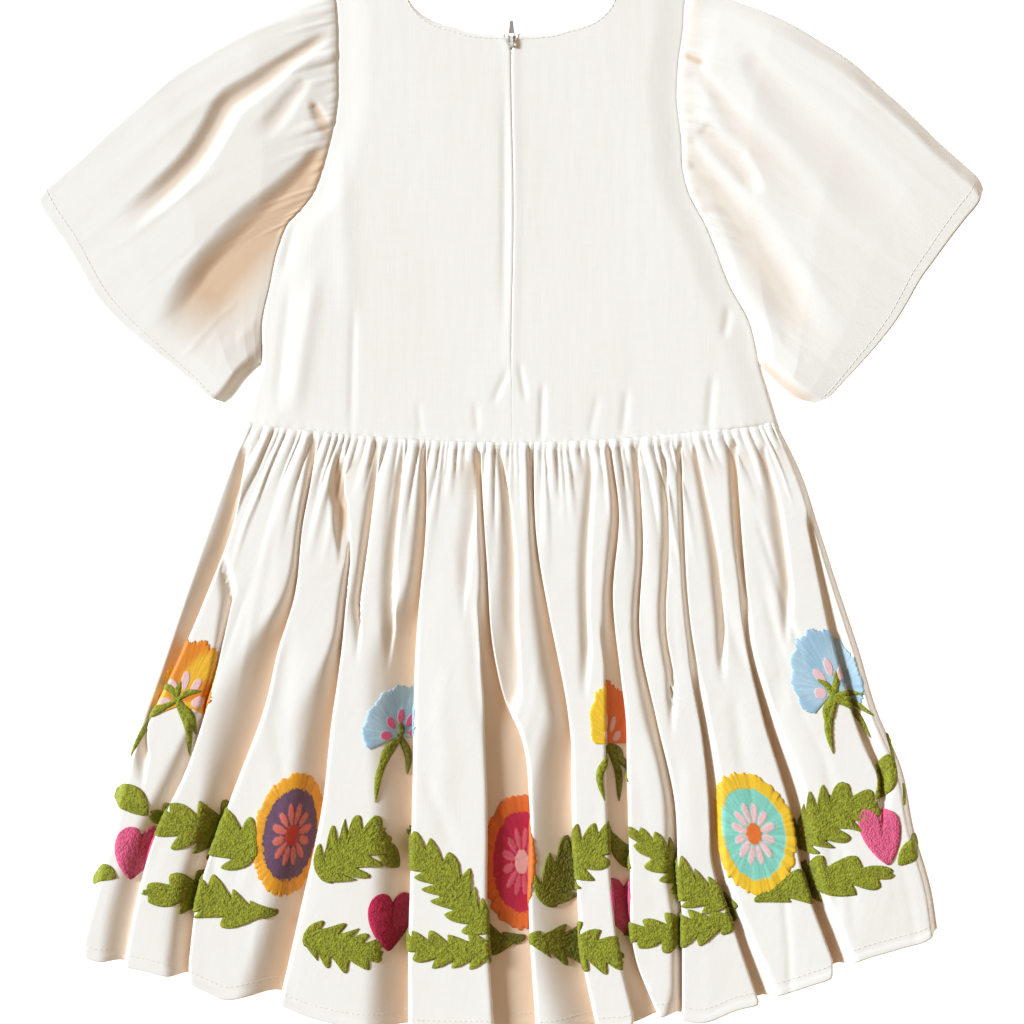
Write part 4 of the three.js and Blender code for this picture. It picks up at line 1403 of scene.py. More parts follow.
FAN_FLOWERS = (
    FanFlower((-211, -127), (28, 41), (-14, 196), THREADS.orange, THREADS.yellow),
    FanFlower((-72, -147), (26, 32), (-10, 200), THREADS.blue, THREADS.sky, THREADS.pink),
    # Its right part, in a valley, is tangerine as painted shade; its left part on the wave is yellow.
    FanFlower((61, -152), (20, 40), (0, 180), THREADS.yellow, THREADS.tangerine, THREADS.rose, 0.52),
    FanFlower((206, -117), (26, 38), (-22, 214), THREADS.blue, THREADS.sky),
)


@dataclass
class Border:
    """The embroidered border round the skirt's lower half."""

    ground: ClothSurface
    seed: int = 23

    def build(self, finishes: Wardrobe) -> list[bpy.types.Object]:
        """Makes the satin and the looped stitches.

        Args:
            finishes: the materials.

        Returns:
            One piece of each.
        """
        rng = np.random.default_rng(self.seed)
        satin = Relief("satin_stitches", self.ground)
        for flower in (*ROUND_FLOWERS, *FAN_FLOWERS):
            flower.sew(satin, rng)
        looped = Relief("looped_stitches", self.ground)
        for motif in (*SPRAYS, *SMALL_LEAVES, *HEARTS):
            motif.sew(looped, rng)
        for foot, tips in STALKS:
            for tip in tips:
                self._stalk_leaf(foot, tip).sew(looped, rng)
        return [satin.build(finishes.satin), looped.build(finishes.looped)]

    @staticmethod
    def _stalk_leaf(foot: tuple, tip: tuple) -> Leaf:
        """A narrow bent leaf from a flower's foot.

        Args:
            foot: x and y of the flower's foot.
            tip: x and y of the leaf's tip.

        Returns:
            The leaf.
        """
        dx, dy = tip[0] - foot[0], tip[1] - foot[1]
        bend = 0.1 if dx > 0 else -0.1
        middle = (foot[0] + 0.5 * dx - bend * dy, foot[1] + 0.5 * dy + bend * dx)
        return Leaf((foot, middle, tip), 2.6, 0, 0.2, 1.7)


class Sewing:
    """Rows of plain stitches, each a small bar with narrow ends, in one mesh."""

    LONG = 2.6
    GAP = 0.8
    HALF = 0.24
    HIGH = 0.2

    def __init__(self, name: str) -> None:
        """Starts without any stitch.

        Args:
            name: the piece's name.
        """
        self.name = name
        self._points: list[np.ndarray] = []
        self._faces: list = []

    def run(self, path: np.ndarray, up: np.ndarray) -> None:
        """Sews one row.

        Args:
            path: points on the cloth, in order.
            up: the cloth's outward direction at each point.
        """
        step = np.linalg.norm(np.diff(path, axis=0), axis=1)
        reach = np.concatenate([[0.0], np.cumsum(step)])
        pitch = self.LONG + self.GAP
        for start in np.arange(self.GAP, reach[-1] - pitch, pitch):
            at = start + self.LONG * np.array([0.0, 0.15, 0.85, 1.0])
            middle = np.stack([np.interp(at, reach, path[:, k]) for k in range(3)], axis=-1)
            normal = np.array([np.interp(at[1], reach, up[:, k]) for k in range(3)])
            normal /= max(np.linalg.norm(normal), 1e-9)
            along = middle[-1] - middle[0]
            side = np.cross(normal, along)
            side /= max(np.linalg.norm(side), 1e-9)
            size = np.array([0.35, 1.0, 1.0, 0.35])[:, None]
            base = len(self._points) * 16
            ring = [
                middle - side * self.HALF * size - normal * 0.1,
                middle + side * self.HALF * size - normal * 0.1,
                middle + side * self.HALF * 0.6 * size + normal * self.HIGH * size,
                middle - side * self.HALF * 0.6 * size + normal * self.HIGH * size,
            ]
            self._points.append(np.stack(ring, axis=1).reshape(-1, 3))
            for k in range(3):
                for i in range(4):
                    a = base + 4 * k + i
                    b = base + 4 * k + (i + 1) % 4
                    self._faces.append((a, b, b + 4, a + 4))
            self._faces.append((base + 3, base + 2, base + 1, base))
            self._faces.append((base + 12, base + 13, base + 14, base + 15))

    def build(self, finishes: Wardrobe) -> bpy.types.Object:
        """Makes the stitches and fixes them to the dress.

        Args:
            finishes: the materials.

        Returns:
            The stitches in one piece.
        """
        points = np.concatenate(self._points)
        colours = np.tile(linear(THREADS.thread), (len(points), 1))
        piece = make_object(self.name, points, self._faces, colours=colours)
        piece.data.materials.append(finishes.sewing)
        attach(piece, DRESS)
        return piece


@dataclass
class SkirtBack:
    """The gathered back skirt: sharp gathers at the waist that run out into deep soft waves."""

    columns: int = 641
    gathers: int = 66
    gather_high: float = 2.3
    left_rounding: float = 7
    right_rounding: float = 5
    hem_notch: float = 5
    streaks: int = 70
    tuck: float = 2.2
    flat: tuple = (0.66, 0.385)
    seed: int = 7
    surface: ClothSurface = field(init=False)

    HEM_STITCH_ROW = -9
    HEM_LINES = 6
    HEM_RISE = 0.3
    SIDE_LOW = 0.9
    SIDE_ROUND = 3
    STEEPNESS = 2.2
    PLACES_ACROSS = 4001
    # Bands of rows down the panel: first share, last share and number of rows.
    ROW_BANDS = ((0, 0.13, 27), (0.13, 0.965, 81), (0.965, 1, 13))

    def __post_init__(self) -> None:
        """Draws the uneven sizes, then works out the surface."""
        rng = np.random.default_rng(self.seed)
        widths = rng.uniform(0.5, 1.5, self.gathers)
        self._gather_edge = np.concatenate([[0.0], np.cumsum(widths) / widths.sum()])
        self._gather_size = widths ** 0.6 * rng.uniform(0.5, 1.1, self.gathers)
        self._gather_long = 22 + 85 * rng.uniform(0, 1, self.gathers) ** 1.6
        self._gather_drift = rng.uniform(-0.006, 0.006, self.gathers + 1)
        self._streaks = np.stack(
            [
                rng.uniform(0.02, 0.98, self.streaks),
                rng.uniform(-210, 30, self.streaks),
                rng.uniform(50, 170, self.streaks),
                rng.uniform(1.8, 4.5, self.streaks),
                rng.uniform(-0.55, 0.3, self.streaks),
                rng.uniform(-0.03, 0.03, self.streaks),
            ],
            axis=-1,
        )
        self.surface = self._surface()

    def place(self, u: np.ndarray, v: np.ndarray) -> np.ndarray:
        """Places on the panel, before any wave.

        Args:
            u: shares across.
            v: shares down.

        Returns:
            x and y of each place.
        """

        def top(share: np.ndarray) -> np.ndarray:
            """The edge tucked into the waist seam."""
            return waist_point(share) + np.array([0.0, self.tuck])

        def low(share: np.ndarray) -> np.ndarray:
            """The hem, notched at each valley.

            Args:
                share: shares from 0 to 1.

            Returns:
                x and y of each point.
            """
            x = HEM_ROWS[0][0] + share * (HEM_ROWS[-1][0] - HEM_ROWS[0][0])
            y = follow(column(HEM_ROWS, 0), column(HEM_ROWS, 1), x)
            cut = 1 - self.open_share(x, np.full_like(x, -320.0))
            return np.stack([x, y + self.hem_notch * cut], axis=-1)

        def side(index: int, sign: float, end: np.ndarray) -> Edge:
            """A side edge that ends at the hem's end."""

            def edge(share: np.ndarray) -> np.ndarray:
                """Points of the side edge.

                Args:
                    share: shares from 0 to 1.

                Returns:
                    x and y of each point.
                """
                y = WAIST_SIDE_Y + self.tuck + share * (end[1] - WAIST_SIDE_Y - self.tuck)
                drift = end[0] - sign * SKIRT_SIDE_ROWS[-1][index]
                return np.stack([skirt_side(index, sign, y) + drift * share, y], axis=-1)

            return edge

        left = side(1, -1, low(np.zeros(1))[0])
        right = side(2, 1, low(np.ones(1))[0])
        return patch(top, low, left, right, u, v)

    def open_share(self, x: np.ndarray, y: np.ndarray) -> np.ndarray:
        """How much of the wave's height is left between the valleys.

        Args:
            x: places across.
            y: places down.

        Returns:
            A share from 0 in a valley to 1 on a wave.
        """
        plateau = follow(PLATEAU_Y, PLATEAU_HIGH, y)
        share = np.ones_like(x)
        for fold in SKIRT_FOLDS:
            share = share * (1 - fold.cut(x, y, plateau)[0])
        return share

    def gather_height(self, share: np.ndarray, below: np.ndarray) -> np.ndarray:
        """Height of the waist's gathers: rounded ridges with sharp lines between them.

        Args:
            share: shares across the panel.
            below: distance under the waist seam.

        Returns:
            Height of each place.
        """
        spread = float(np.clip(np.mean(below) / 60, 0, 1))
        edges = np.sort(self._gather_edge + self._gather_drift * spread)
        edges[0], edges[-1] = 0.0, 1.0
        phase = np.interp(share, edges, np.arange(self.gathers + 1.0))
        index = np.clip(phase.astype(int), 0, self.gathers - 1)
        ridge = np.abs(np.sin(np.pi * phase)) ** 0.6
        grow = 0.3 + 0.7 * smooth((below - self.tuck * 0.4) / 5)
        fade = 1 - smooth(below / self._gather_long[index])
        pucker = 0.35 * np.sin(150 * share + 3 * np.sin(17 * share)) * (1 - smooth(below / 8))
        return self.gather_high * self._gather_size[index] * ridge * grow * fade + pucker * grow

    def streak_height(self, x: np.ndarray, y: np.ndarray, left: np.ndarray, right: np.ndarray) -> np.ndarray:
        """Height of the soft creases that run down the waves.

        Args:
            x: places across.
            y: places down.
            left: x of the left side.
            right: x of the right side.

        Returns:
            Height of each place.
        """
        total = np.zeros_like(x)
        for share, top, long, wide, high, drift in self._streaks:
            along = (top - y) / long
            line = left + (share + drift * along) * (right - left)
            window = smooth(along * 4) * smooth((1 - along) * 3)
            total += high * window * np.exp(-(((x - line) / wide) ** 2))
        return total

    def heights(self, x: np.ndarray, y: np.ndarray, share: np.ndarray) -> tuple[np.ndarray, ...]:
        """Height of the cloth, its sideways lean and its share of painted shade.

        Args:
            x: places across.
            y: places down.
            share: each place's share across the panel.

        Returns:
            Height over the surface, the move along x, and a share of painted shade from 0 on a wave to 1 deep
            in a valley.
        """
        plateau = follow(PLATEAU_Y, PLATEAU_HIGH, y)
        left = skirt_side(1, -1, y)
        right = skirt_side(2, 1, y)
        from_left = np.maximum(0, x - left)
        from_right = np.maximum(0, right - x)
        inside = np.minimum(from_left, from_right)
        open_share = np.ones_like(x)
        move = np.zeros_like(x)
        for fold in SKIRT_FOLDS:
            cut, lean = fold.cut(x, y, plateau)
            open_share = open_share * (1 - cut)
            move += lean
        below = waist_point(share)[..., 1] + self.tuck - y
        side = smooth(from_left / self.left_rounding) * smooth(from_right / self.right_rounding)
        base = self.SIDE_LOW + (BACK_BASE - self.SIDE_LOW) * rounded(inside / self.SIDE_ROUND)
        waves = plateau * open_share * side
        gathers = self.gather_height(share, below) * smooth(inside / 5 + 0.3)
        # Painted shade: a warm tint share, highest deep in the valleys and in the lines between the waist's
        # gathers just under the seam.
        gather_painted_shade = np.clip(1 - gathers / 1.1, 0, 1) ** 2 * (1 - smooth((below - 4) / 34)) * smooth(below / 5)
        painted_shade = np.clip((1 - open_share) * smooth(plateau / 7) * side + 0.45 * gather_painted_shade, 0, 1)
        streaks = self.streak_height(x, y, left, right) * (0.25 + 0.75 * open_share) * side
        sway = 0.45 * np.sin(x / 21 + 0.9 * np.sin(y / 57)) * np.sin(y / 74 + x / 90) * smooth(below / 60)
        tucked = -0.5 * (1 - smooth(below / 3.5))
        return base + waves + gathers + streaks + sway * side + tucked, move * side, painted_shade

    def _surface(self) -> ClothSurface:
        """Rows of points, closest where the cloth is steep."""
        bands = [np.linspace(*band) for band in self.ROW_BANDS]
        shares = np.concatenate([bands[0], *[band[1:] for band in bands[1:]]])
        dense = np.linspace(0, 1, self.PLACES_ACROSS)
        across = []
        for v in shares:
            xy = self.place(dense, np.full_like(dense, v))
            z, move, _ = self.heights(xy[:, 0], xy[:, 1], dense)
            dx = np.diff(xy[:, 0] + move)
            dy = np.diff(xy[:, 1])
            dz = np.diff(z)
            reach = np.concatenate([[0.0], np.cumsum(np.sqrt(dx**2 + dy**2 + (self.STEEPNESS * dz) ** 2))])
            across.append(np.interp(np.linspace(0, reach[-1], self.columns), reach, dense))
        share = self._evened(np.asarray(across))
        points = []
        painted_shades = []
        for v, u in zip(shares, share):
            xy = self.place(u, np.full_like(u, v))
            z, move, painted_shade = self.heights(xy[:, 0], xy[:, 1], u)
            points.append(np.stack([xy[:, 0] + move, xy[:, 1], z], axis=-1))
            painted_shades.append(painted_shade)
        grid = np.asarray(points)
        grid[-self.HEM_LINES :, :, 2] += self.HEM_RISE * smooth(np.arange(self.HEM_LINES) / 2)[:, None]
        return ClothSurface(grid, share, np.asarray(painted_shades))

    @staticmethod
    def _evened(rows: np.ndarray, reach: int = 5) -> np.ndarray:
        """Rows averaged with their neighbours, so that columns run on smoothly.

        Args:
            rows: shares of each row.
            reach: rows on each side that count.

        Returns:
            The averaged rows.
        """
        weights = np.hanning(2 * reach + 3)[1:-1]
        weights /= weights.sum()
        padded = np.pad(rows, ((reach, reach), (0, 0)), mode="edge")
        return sum(w * padded[i : i + len(rows)] for i, w in enumerate(weights))

    def build(self, finishes: Wardrobe) -> bpy.types.Object:
        """Makes the panel and puts it in its solid's place."""
        piece = closed_shell("skirt_back_cloth", self.surface, CLOTH_THICK)
        return take_place(piece, "skirt_back", finishes.cloth)


@dataclass
class FlatFront:
    """A front panel that lies flat on the surface under its back panel."""

    node: str
    flat: tuple
    flat_area: float
    columns: int = 81
    rows: int = 61

    def build(self, place: Place, finishes: Wardrobe) -> bpy.types.Object:
        """Makes the panel.

        Args:
            place: gives x and y for shares across and down.
            finishes: the materials.

        Returns:
            The panel.
        """
        u, v = np.meshgrid(np.linspace(0, 1, self.columns), np.linspace(0, 1, self.rows))
        xy = place(u, v)
        z = np.full(u.shape, FRONT_HIGH)
        points = np.concatenate([xy, z[..., None]], axis=-1)
        uv = xy.reshape(-1, 2) * MM
        faces = grid_faces(self.rows, self.columns).tolist()
        piece = make_object(f"{self.node}_cloth", points.reshape(-1, 3), faces, uv=uv)
        thicken(piece, FRONT_HIGH - FRONT_LOW)
        return take_place(piece, self.node, finishes.cloth)


def bodice_side(side: Side, v: np.ndarray) -> np.ndarray:
    """Points of a bodice side, from the shoulder to the waist.

    Args:
        side: left or right.
        v: shares of the drop.

    Returns:
        x and y of each point.
    """
    top, low = SIDE_ROWS[0][0], SIDE_ROWS[-1][0]
    y = top + v * (low - top)
    x = side.sign * follow(column(SIDE_ROWS, 0), column(SIDE_ROWS, side.column), y)
    return np.stack([x, y], axis=-1)


@dataclass(frozen=True)
class Crease:
    """A soft crease pressed in or raised, from one place to another."""

    start: tuple
    end: tuple
    wide: float
    high: float

    def height(self, x: np.ndarray, y: np.ndarray) -> np.ndarray:
        """Height that the crease adds.

        Args:
            x: places across.
            y: places down.

        Returns:
            Height at each place.
        """
        dx = self.end[0] - self.start[0]
        dy = self.end[1] - self.start[1]
        long = math.hypot(dx, dy)
        along = ((x - self.start[0]) * dx + (y - self.start[1]) * dy) / long**2
        across = ((x - self.start[0]) * dy - (y - self.start[1]) * dx) / long
        window = smooth(along * 3 + 0.3) * smooth((1 - along) * 3 + 0.3)
        return self.high * window * np.exp(-((across / self.wide) ** 2))


BODICE_CREASES = (
    Crease((20, 78), (19, 41), 1.6, -0.9),
    Crease((5, 92), (9, 68), 1.5, -0.7),
    Crease((-2, 88), (-12, 66), 1.8, -0.6),
    Crease((-101, 128), (-103, 48), 2.2, -0.5),
    Crease((74, 74), (71, 44), 2.2, -0.6),
    Crease((129, 84), (126, 46), 2.4, -0.7),
    Crease((-23, 66), (-22, 48), 2.0, -0.5),
    Crease((140, 128), (136, 108), 2.6, -0.8),
    Crease((-126, 150), (-140, 60), 5.5, 0.9),
    Crease((-142, 140), (-150, 62), 4.0, -0.7),
    Crease((-112, 235), (-104, 120), 7.0, 0.5),
    Crease((55, 70), (50, 45), 2.0, -0.4),
    Crease((-60, 66), (-58, 45), 2.0, -0.35),
    Crease((-4, 268), (-5, 120), 2.4, -0.5),
    Crease((-140, 182), (-147, 150), 3.4, -0.9),
)


@dataclass
class BodiceBack:
    """One half of the back bodice, from the armhole to the zip."""

    side: Side
    columns: int = 110
    rows: int = 150
    level: float = 2.7
    crown: float = 1.4
    slit_bend: float = 1.6
    overlap: float = 0.7
    flat: tuple = (0.171, 0.299)
    flat_area: float = 0.036
    neck_row: np.ndarray = field(init=False)

    NECK_STITCH_ROW = 2
    SHOULDER_COLUMNS = 0.42
    NECK_OPENING = 13
    BEND_LONG = 200
    # The last columns lie close to the slit, so that its edge is crisp.
    SLIT_COLUMNS = (0.986, 0.9935, 0.9983, 1)
    SLIT_LOW_Y = 80
    LOWEST = SEAM_LEVEL - 0.35

    @property
    def name(self) -> str:
        """The solid's name."""
        return f"bodice_back_{self.side.value}"

    def _zip_edge(self, share: np.ndarray) -> np.ndarray:
        """Points of the edge along the zip.

        Args:
            share: shares of the drop from the neck to the waist.

        Returns:
            x and y of each point.
        """
        neck_half, neck_y = BACK_NECK_ROWS[-1]
        drop = share * (neck_y - WAIST_SIDE_Y + WAIST_DIP)
        half = neck_half * (1 - smooth(drop / self.NECK_OPENING))
        bend = self.slit_bend * np.sin(np.pi * smooth((drop - self.NECK_OPENING) / self.BEND_LONG))
        return np.stack([self.side.sign * half + bend, neck_y - drop], axis=-1)

    def _panel(self, x: np.ndarray, y: np.ndarray, reach: np.ndarray, to_slit: np.ndarray) -> np.ndarray:
        """Height of the laid panel, with its creases, before its edges turn down.

        Args:
            x: places across.
            y: places down.
            reach: distance from the bodice's side.
            to_slit: distance from the zip.

        Returns:
            Height over the surface that the dress lies on.
        """
        z = self.level + self.crown * smooth(reach / 22)
        for crease in BODICE_CREASES:
            z += crease.height(x, y) * smooth(to_slit / 3) * smooth(reach / 12)
        z += 0.3 * np.sin(x / 24 + 0.6 * np.sin(y / 40)) * np.sin(y / 52 + x / 80) * smooth(reach / 25)
        z += 0.25 * (1 - smooth((to_slit - 0.8) / 6)) * smooth((y - 70) / 30)
        return z

    def build(self, finishes: Wardrobe) -> bpy.types.Object:
        """Makes the panel and puts it in its solid's place.

        Args:
            finishes: the materials.

        Returns:
            The panel.
        """
        sign = self.side.sign
        neck = Line(tuple((sign * x, y) for x, y in BACK_NECK_ROWS), BACK_NECK_CORNER)
        shoulder = round(self.columns * self.SHOULDER_COLUMNS)
        shoulder_shares = np.linspace(0, neck.corner_share, shoulder)
        neck_shares = np.linspace(neck.corner_share, 1, self.columns - shoulder + 1)[1:]
        share_u = np.concatenate([shoulder_shares, neck_shares])
        first, *last = self.SLIT_COLUMNS
        u_even = np.concatenate([np.linspace(0, first, self.columns - len(last)), last])
        u, v = np.meshgrid(u_even, np.linspace(0, 1, self.rows))

        def top(share: np.ndarray) -> np.ndarray:
            """The shoulder seam and the neckline."""
            return neck.at(np.interp(share, u_even, share_u))

        def low(share: np.ndarray) -> np.ndarray:
            """This half of the waist seam."""
            waist_share = 0.5 * share if self.side is Side.LEFT else 1 - 0.5 * share
            return waist_point(waist_share)

        def outer(share: np.ndarray) -> np.ndarray:
            """The armhole and side edge."""
            return bodice_side(self.side, share) + np.array([sign * self.overlap, 0.0])

        xy = patch(top, low, outer, self._zip_edge, u, v)
        x, y = xy[..., 0], xy[..., 1]
        reach = np.abs(outer(v)[..., 0]) - np.abs(x)
        to_top = np.linalg.norm(xy - xy[0][None], axis=-1)
        to_low = np.linalg.norm(xy - xy[-1][None], axis=-1)
        to_slit = (x - self._zip_edge(v)[..., 0]) * sign
        below_arm = smooth((SIDE_ROWS[SLEEVE_LAST_ROW][0] - y) / 8 + 0.5)
        at_shoulder = smooth((neck.corner_share - np.interp(u, u_even, share_u)) / 0.02 + 0.5)
        z = self._panel(x, y, reach, to_slit)
        z -= (z - SEAM_LEVEL) * (1 - rounded(reach / 3)) * below_arm
        z -= (1 - rounded(reach / 2)) * (1 - below_arm)
        z -= (z - SEAM_LEVEL) * (1 - rounded(to_top / 3)) * at_shoulder
        z -= 1.3 * (1 - rounded(to_top / 1.4)) * (1 - at_shoulder)
        z -= 1 - rounded(to_low / 1.6)
        z -= self.side.slit_dip * smooth((y - self.SLIT_LOW_Y) / 20) * (1 - rounded(to_slit / 1.1))
        z += 0.16 * np.sin(x * 0.95 + 2 * np.sin(x / 9)) * (1 - smooth(to_low / 7))
        points = np.stack([x, y, np.maximum(z, self.LOWEST)], axis=-1)
        self.neck_row = points[self.NECK_STITCH_ROW, shoulder + 1 :]
        if self.side is Side.RIGHT:
            points = points[:, ::-1]
        uv = points[..., :2].reshape(-1, 2) * MM
        faces = grid_faces(self.rows, self.columns).tolist()
        piece = make_object(f"{self.name}_cloth", points.reshape(-1, 3), faces, uv=uv)
        thicken(piece)
        return take_place(piece, self.name, finishes.cloth)


@dataclass(frozen=True)
class SleeveFold:
    """One valley of a sleeve, from the armhole to the hem, wider on its underarm side if wanted."""

    depth: float
    x: tuple
    y: tuple
    half: tuple
    low_side: float = 1.0
    edge: float = 1.1
    fading: float = 3.5
    # Strength of the valley's painted shade.
    tone: float = 1.0

    def cut(self, x: np.ndarray, y: np.ndarray) -> tuple[np.ndarray, np.ndarray]:
        """Share of the sleeve's height that the valley takes, and its share of painted shade.

        Args:
            x: places to the outside.
            y: places down.

        Returns:
            Both shares for each place.
        """
        rows = Line(tuple(zip(self.x, self.y)))
        steps = rows.at(np.linspace(0, 1, 25))
        best = np.full(x.shape, np.inf)
        place = np.zeros(x.shape)
        side = np.zeros(x.shape)
        for i in range(len(steps) - 1):
            dx, dy = steps[i + 1] - steps[i]
            off_x = x - steps[i, 0]
            off_y = y - steps[i, 1]
            t = np.clip((off_x * dx + off_y * dy) / (dx * dx + dy * dy), 0, 1)
            away = np.hypot(off_x - t * dx, off_y - t * dy)
            nearer = away < best
            place = np.where(nearer, (i + t) / (len(steps) - 1), place)
            side = np.where(nearer, off_x * dy - off_y * dx, side)
            best = np.minimum(best, away)
        half = np.interp(place, np.linspace(0, 1, len(self.half)), self.half)
        wide = half * np.where(side > 0, self.low_side, 1.0)
        ends = smooth(place * 9 + 0.35) * smooth((1 - place) * self.fading + 0.1)
        share = self.depth * ends * (1 - smooth((best / wide - 0.15) / self.edge))
        # Painted shade: strongest along the valley's line, spread wider on the underarm side, scaled by the
        # fold's tone.
        tone = 1 - smooth((best / (half * min(self.low_side, 1.9)) - 0.15) / self.edge)
        return share, self.tone * share * (0.25 + 0.75 * tone)


# Sleeve valleys, one row each: share of the height, x to the outside, y and half width along it, then the
# width on the underarm side, the edge's softness, the fade towards the hem and the strength of the painted
# shade.
SLEEVE_FOLDS = {
    Side.LEFT: (
        SleeveFold(0.6, (118, 138, 161, 182, 189, 200, 221, 247), (302, 288, 271, 256, 243, 225, 203, 182),
                   (3, 4.5, 6, 7, 7, 7, 7, 6), 1, 1.4),
        SleeveFold(0.26, (131, 139, 149, 164), (273, 264, 250, 235), (3, 4.5, 5, 5), 1, 1.6, 2),
        SleeveFold(0.9, (118, 139, 172.5, 191, 208, 219), (230, 203, 169, 148, 123, 106),
                   (5, 9, 12, 13, 13, 12), 6, 1.3, 3, 1.25),
        SleeveFold(0.5, (127, 121, 116), (258, 246, 236), (3, 5, 4), 1, 1.2, 6, 1.6),
    ),
    Side.RIGHT: (
        SleeveFold(0.45, (115, 133, 150, 167, 182, 204), (226, 200, 177, 148, 123, 98),
                   (6, 9, 11, 12, 12, 10), 1, 1.7, 3, 0.75),
        SleeveFold(0.2, (116, 131, 150, 162, 188, 202), (283, 265, 238, 225, 194, 178),
                   (3, 4, 7, 9, 9, 6), 1, 1.8, 2),
        SleeveFold(0.22, (150, 187, 212, 242, 262), (291, 244, 217, 185, 163),
                   (5, 10, 12, 12, 8), 1, 1.8, 2, 0.7),
        SleeveFold(0.35, (121, 143, 159), (243, 221, 199), (5, 7, 4), 1, 1.6, 3.5, 0.7),
        SleeveFold(0.5, (111, 118, 124), (289, 286, 283), (2.4, 3.4, 3), 1, 1.2, 6, 1.6),
    ),
}


@dataclass
class Sleeve:
    """A flutter sleeve: one flattened open tube, gathered into the armhole."""

    side: Side
    stations: int = 121
    upper: int = 200
    lower: int = 50
    gathers: int = 30
    gather_high: float = 1.3
    creases: int = 26
    fold_round: float = 2.4
    level: float = 2.5
    middle: float = 1.2
    lowest: float = 0.25
    flat: tuple = (0.46, 0.20)
    flat_area: float = 0.075
    hem_row: np.ndarray = field(init=False)

    HEM_STITCH_STATION = -6
    HEM_STITCH_ENDS = 5
    MIDDLE_STATION = 60
    LONG = 190
    EDGE_ROUND = 13
    GATHERED_SHARE = 0.72
    SEEDS = {Side.LEFT: 11, Side.RIGHT: 12}
    # Least and most of a soft crease: place across, start, length, width and height.
    CREASE_LEAST = (0.03, 0, 0.3, 0.01, -0.3)
    CREASE_MOST = (0.97, 0.5, 0.8, 0.03, 0.3)

    @property
    def name(self) -> str:
        """The solid's name."""
        return f"sleeve_{self.side.value}"

    def _place(self, u: np.ndarray, v: np.ndarray) -> np.ndarray:
        """Flat places of the sleeve.

        Args:
            u: shares out from the armhole to the hem.
            v: shares down from the top fold.

        Returns:
            x to the outside, and y, of each place.
        """
        rows = SIDE_ROWS[: SLEEVE_LAST_ROW + 1]
        armhole = Line(tuple((row[self.side.column], row[0]) for row in rows))
        top = Line(((SIDE_ROWS[0][self.side.column], SIDE_ROWS[0][0]), *SLEEVE_TOP_ROWS[1:]))
        underarm = Line(SLEEVE_UNDERARM_ROWS[self.side.value])
        hem = Line(SLEEVE_HEM_ROWS[self.side.value])
        self.armhole_long = armhole.length
        return patch(top.at, underarm.at, armhole.at, hem.at, u, v)

    def _gathers(self, u: np.ndarray, v: np.ndarray, rng: np.random.Generator) -> np.ndarray:
        """Height of the gathers that run out from the armhole.

        Args:
            u: shares out to the hem.
            v: shares down.
            rng: draws the uneven sizes.

        Returns:
            Height of each place.
        """
        widths = rng.uniform(0.4, 1.6, self.gathers)
        sizes = widths**0.6 * rng.uniform(0.4, 1.1, self.gathers)
        longs = 0.05 + 0.3 * rng.uniform(0, 1, self.gathers) ** 2.2
        edges = np.concatenate([[0.0], np.cumsum(widths) / widths.sum()]) * self.GATHERED_SHARE
        phase = np.interp(v, edges, np.arange(self.gathers + 1.0))
        index = np.clip(phase.astype(int), 0, self.gathers - 1)
        ridge = np.abs(np.sin(np.pi * phase)) ** 0.7
        fade = (1 - smooth(u / longs[index])) * (1 - smooth((v - 0.64) / 0.08))
        return self.gather_high * sizes[index] * ridge * fade * (0.35 + 0.65 * smooth(u / 0.03))

    def _soft_creases(self, u: np.ndarray, v: np.ndarray, rng: np.random.Generator) -> np.ndarray:
        """Height of the faint creases over the whole sleeve.

        Args:
            u: shares out to the hem.
            v: shares down.
            rng: draws their places and sizes.

        Returns:
            Height of each place.
        """
        total = np.zeros_like(u)
        for _ in range(self.creases):
            where, start, long, wide, high = rng.uniform(self.CREASE_LEAST, self.CREASE_MOST)
            along = (u - start) / long
            window = smooth(along * 4) * smooth((1 - along) * 3)
            total += high * window * np.exp(-(((v - where) / wide) ** 2))
        return total

    def _lift(self, flat: np.ndarray, u: np.ndarray, v: np.ndarray) -> tuple[np.ndarray, np.ndarray]:
        """Height of the upper layer over its flat place, and its share of painted shade.

        Args:
            flat: x to the outside, and y, of each place.
            u: shares out to the hem.
            v: shares down.

        Returns:
            Height, and a share of painted shade from 0 on top to 1 deep in a valley.
        """
        open_share = np.ones_like(u)
        painted_shade = np.zeros_like(u)
        for fold in SLEEVE_FOLDS[self.side]:
            cut, fold_painted_shade = fold.cut(flat[..., 0], flat[..., 1])
            open_share = open_share * (1 - cut)
            painted_shade = np.maximum(painted_shade, fold_painted_shade)
        edge = self.armhole_long * np.minimum(v, 1 - v)
        lift = np.interp(u, SLEEVE_SHARE, SLEEVE_HIGH) * open_share * smooth(edge / self.EDGE_ROUND)
        rng = np.random.default_rng(self.SEEDS[self.side])
        lift += self._gathers(u, v, rng)
        lift += self._soft_creases(u, v, rng) * smooth(edge / 8)
        painted_shade = painted_shade * smooth(edge / self.EDGE_ROUND)
        # Painted shade on the right sleeve: along its underarm edge beside the bodice, and at the armhole
        # seam.
        if self.side is Side.RIGHT:
            underarm_painted_shade = 1 - smooth((self.armhole_long * (1 - v) - 3) / 9)
            painted_shade = np.maximum(painted_shade, 0.6 * underarm_painted_shade * smooth(u * 6) * smooth((0.95 - u) * 6))
            painted_shade = np.maximum(painted_shade, 0.3 * (1 - smooth(u * 12)))
        return lift, painted_shade

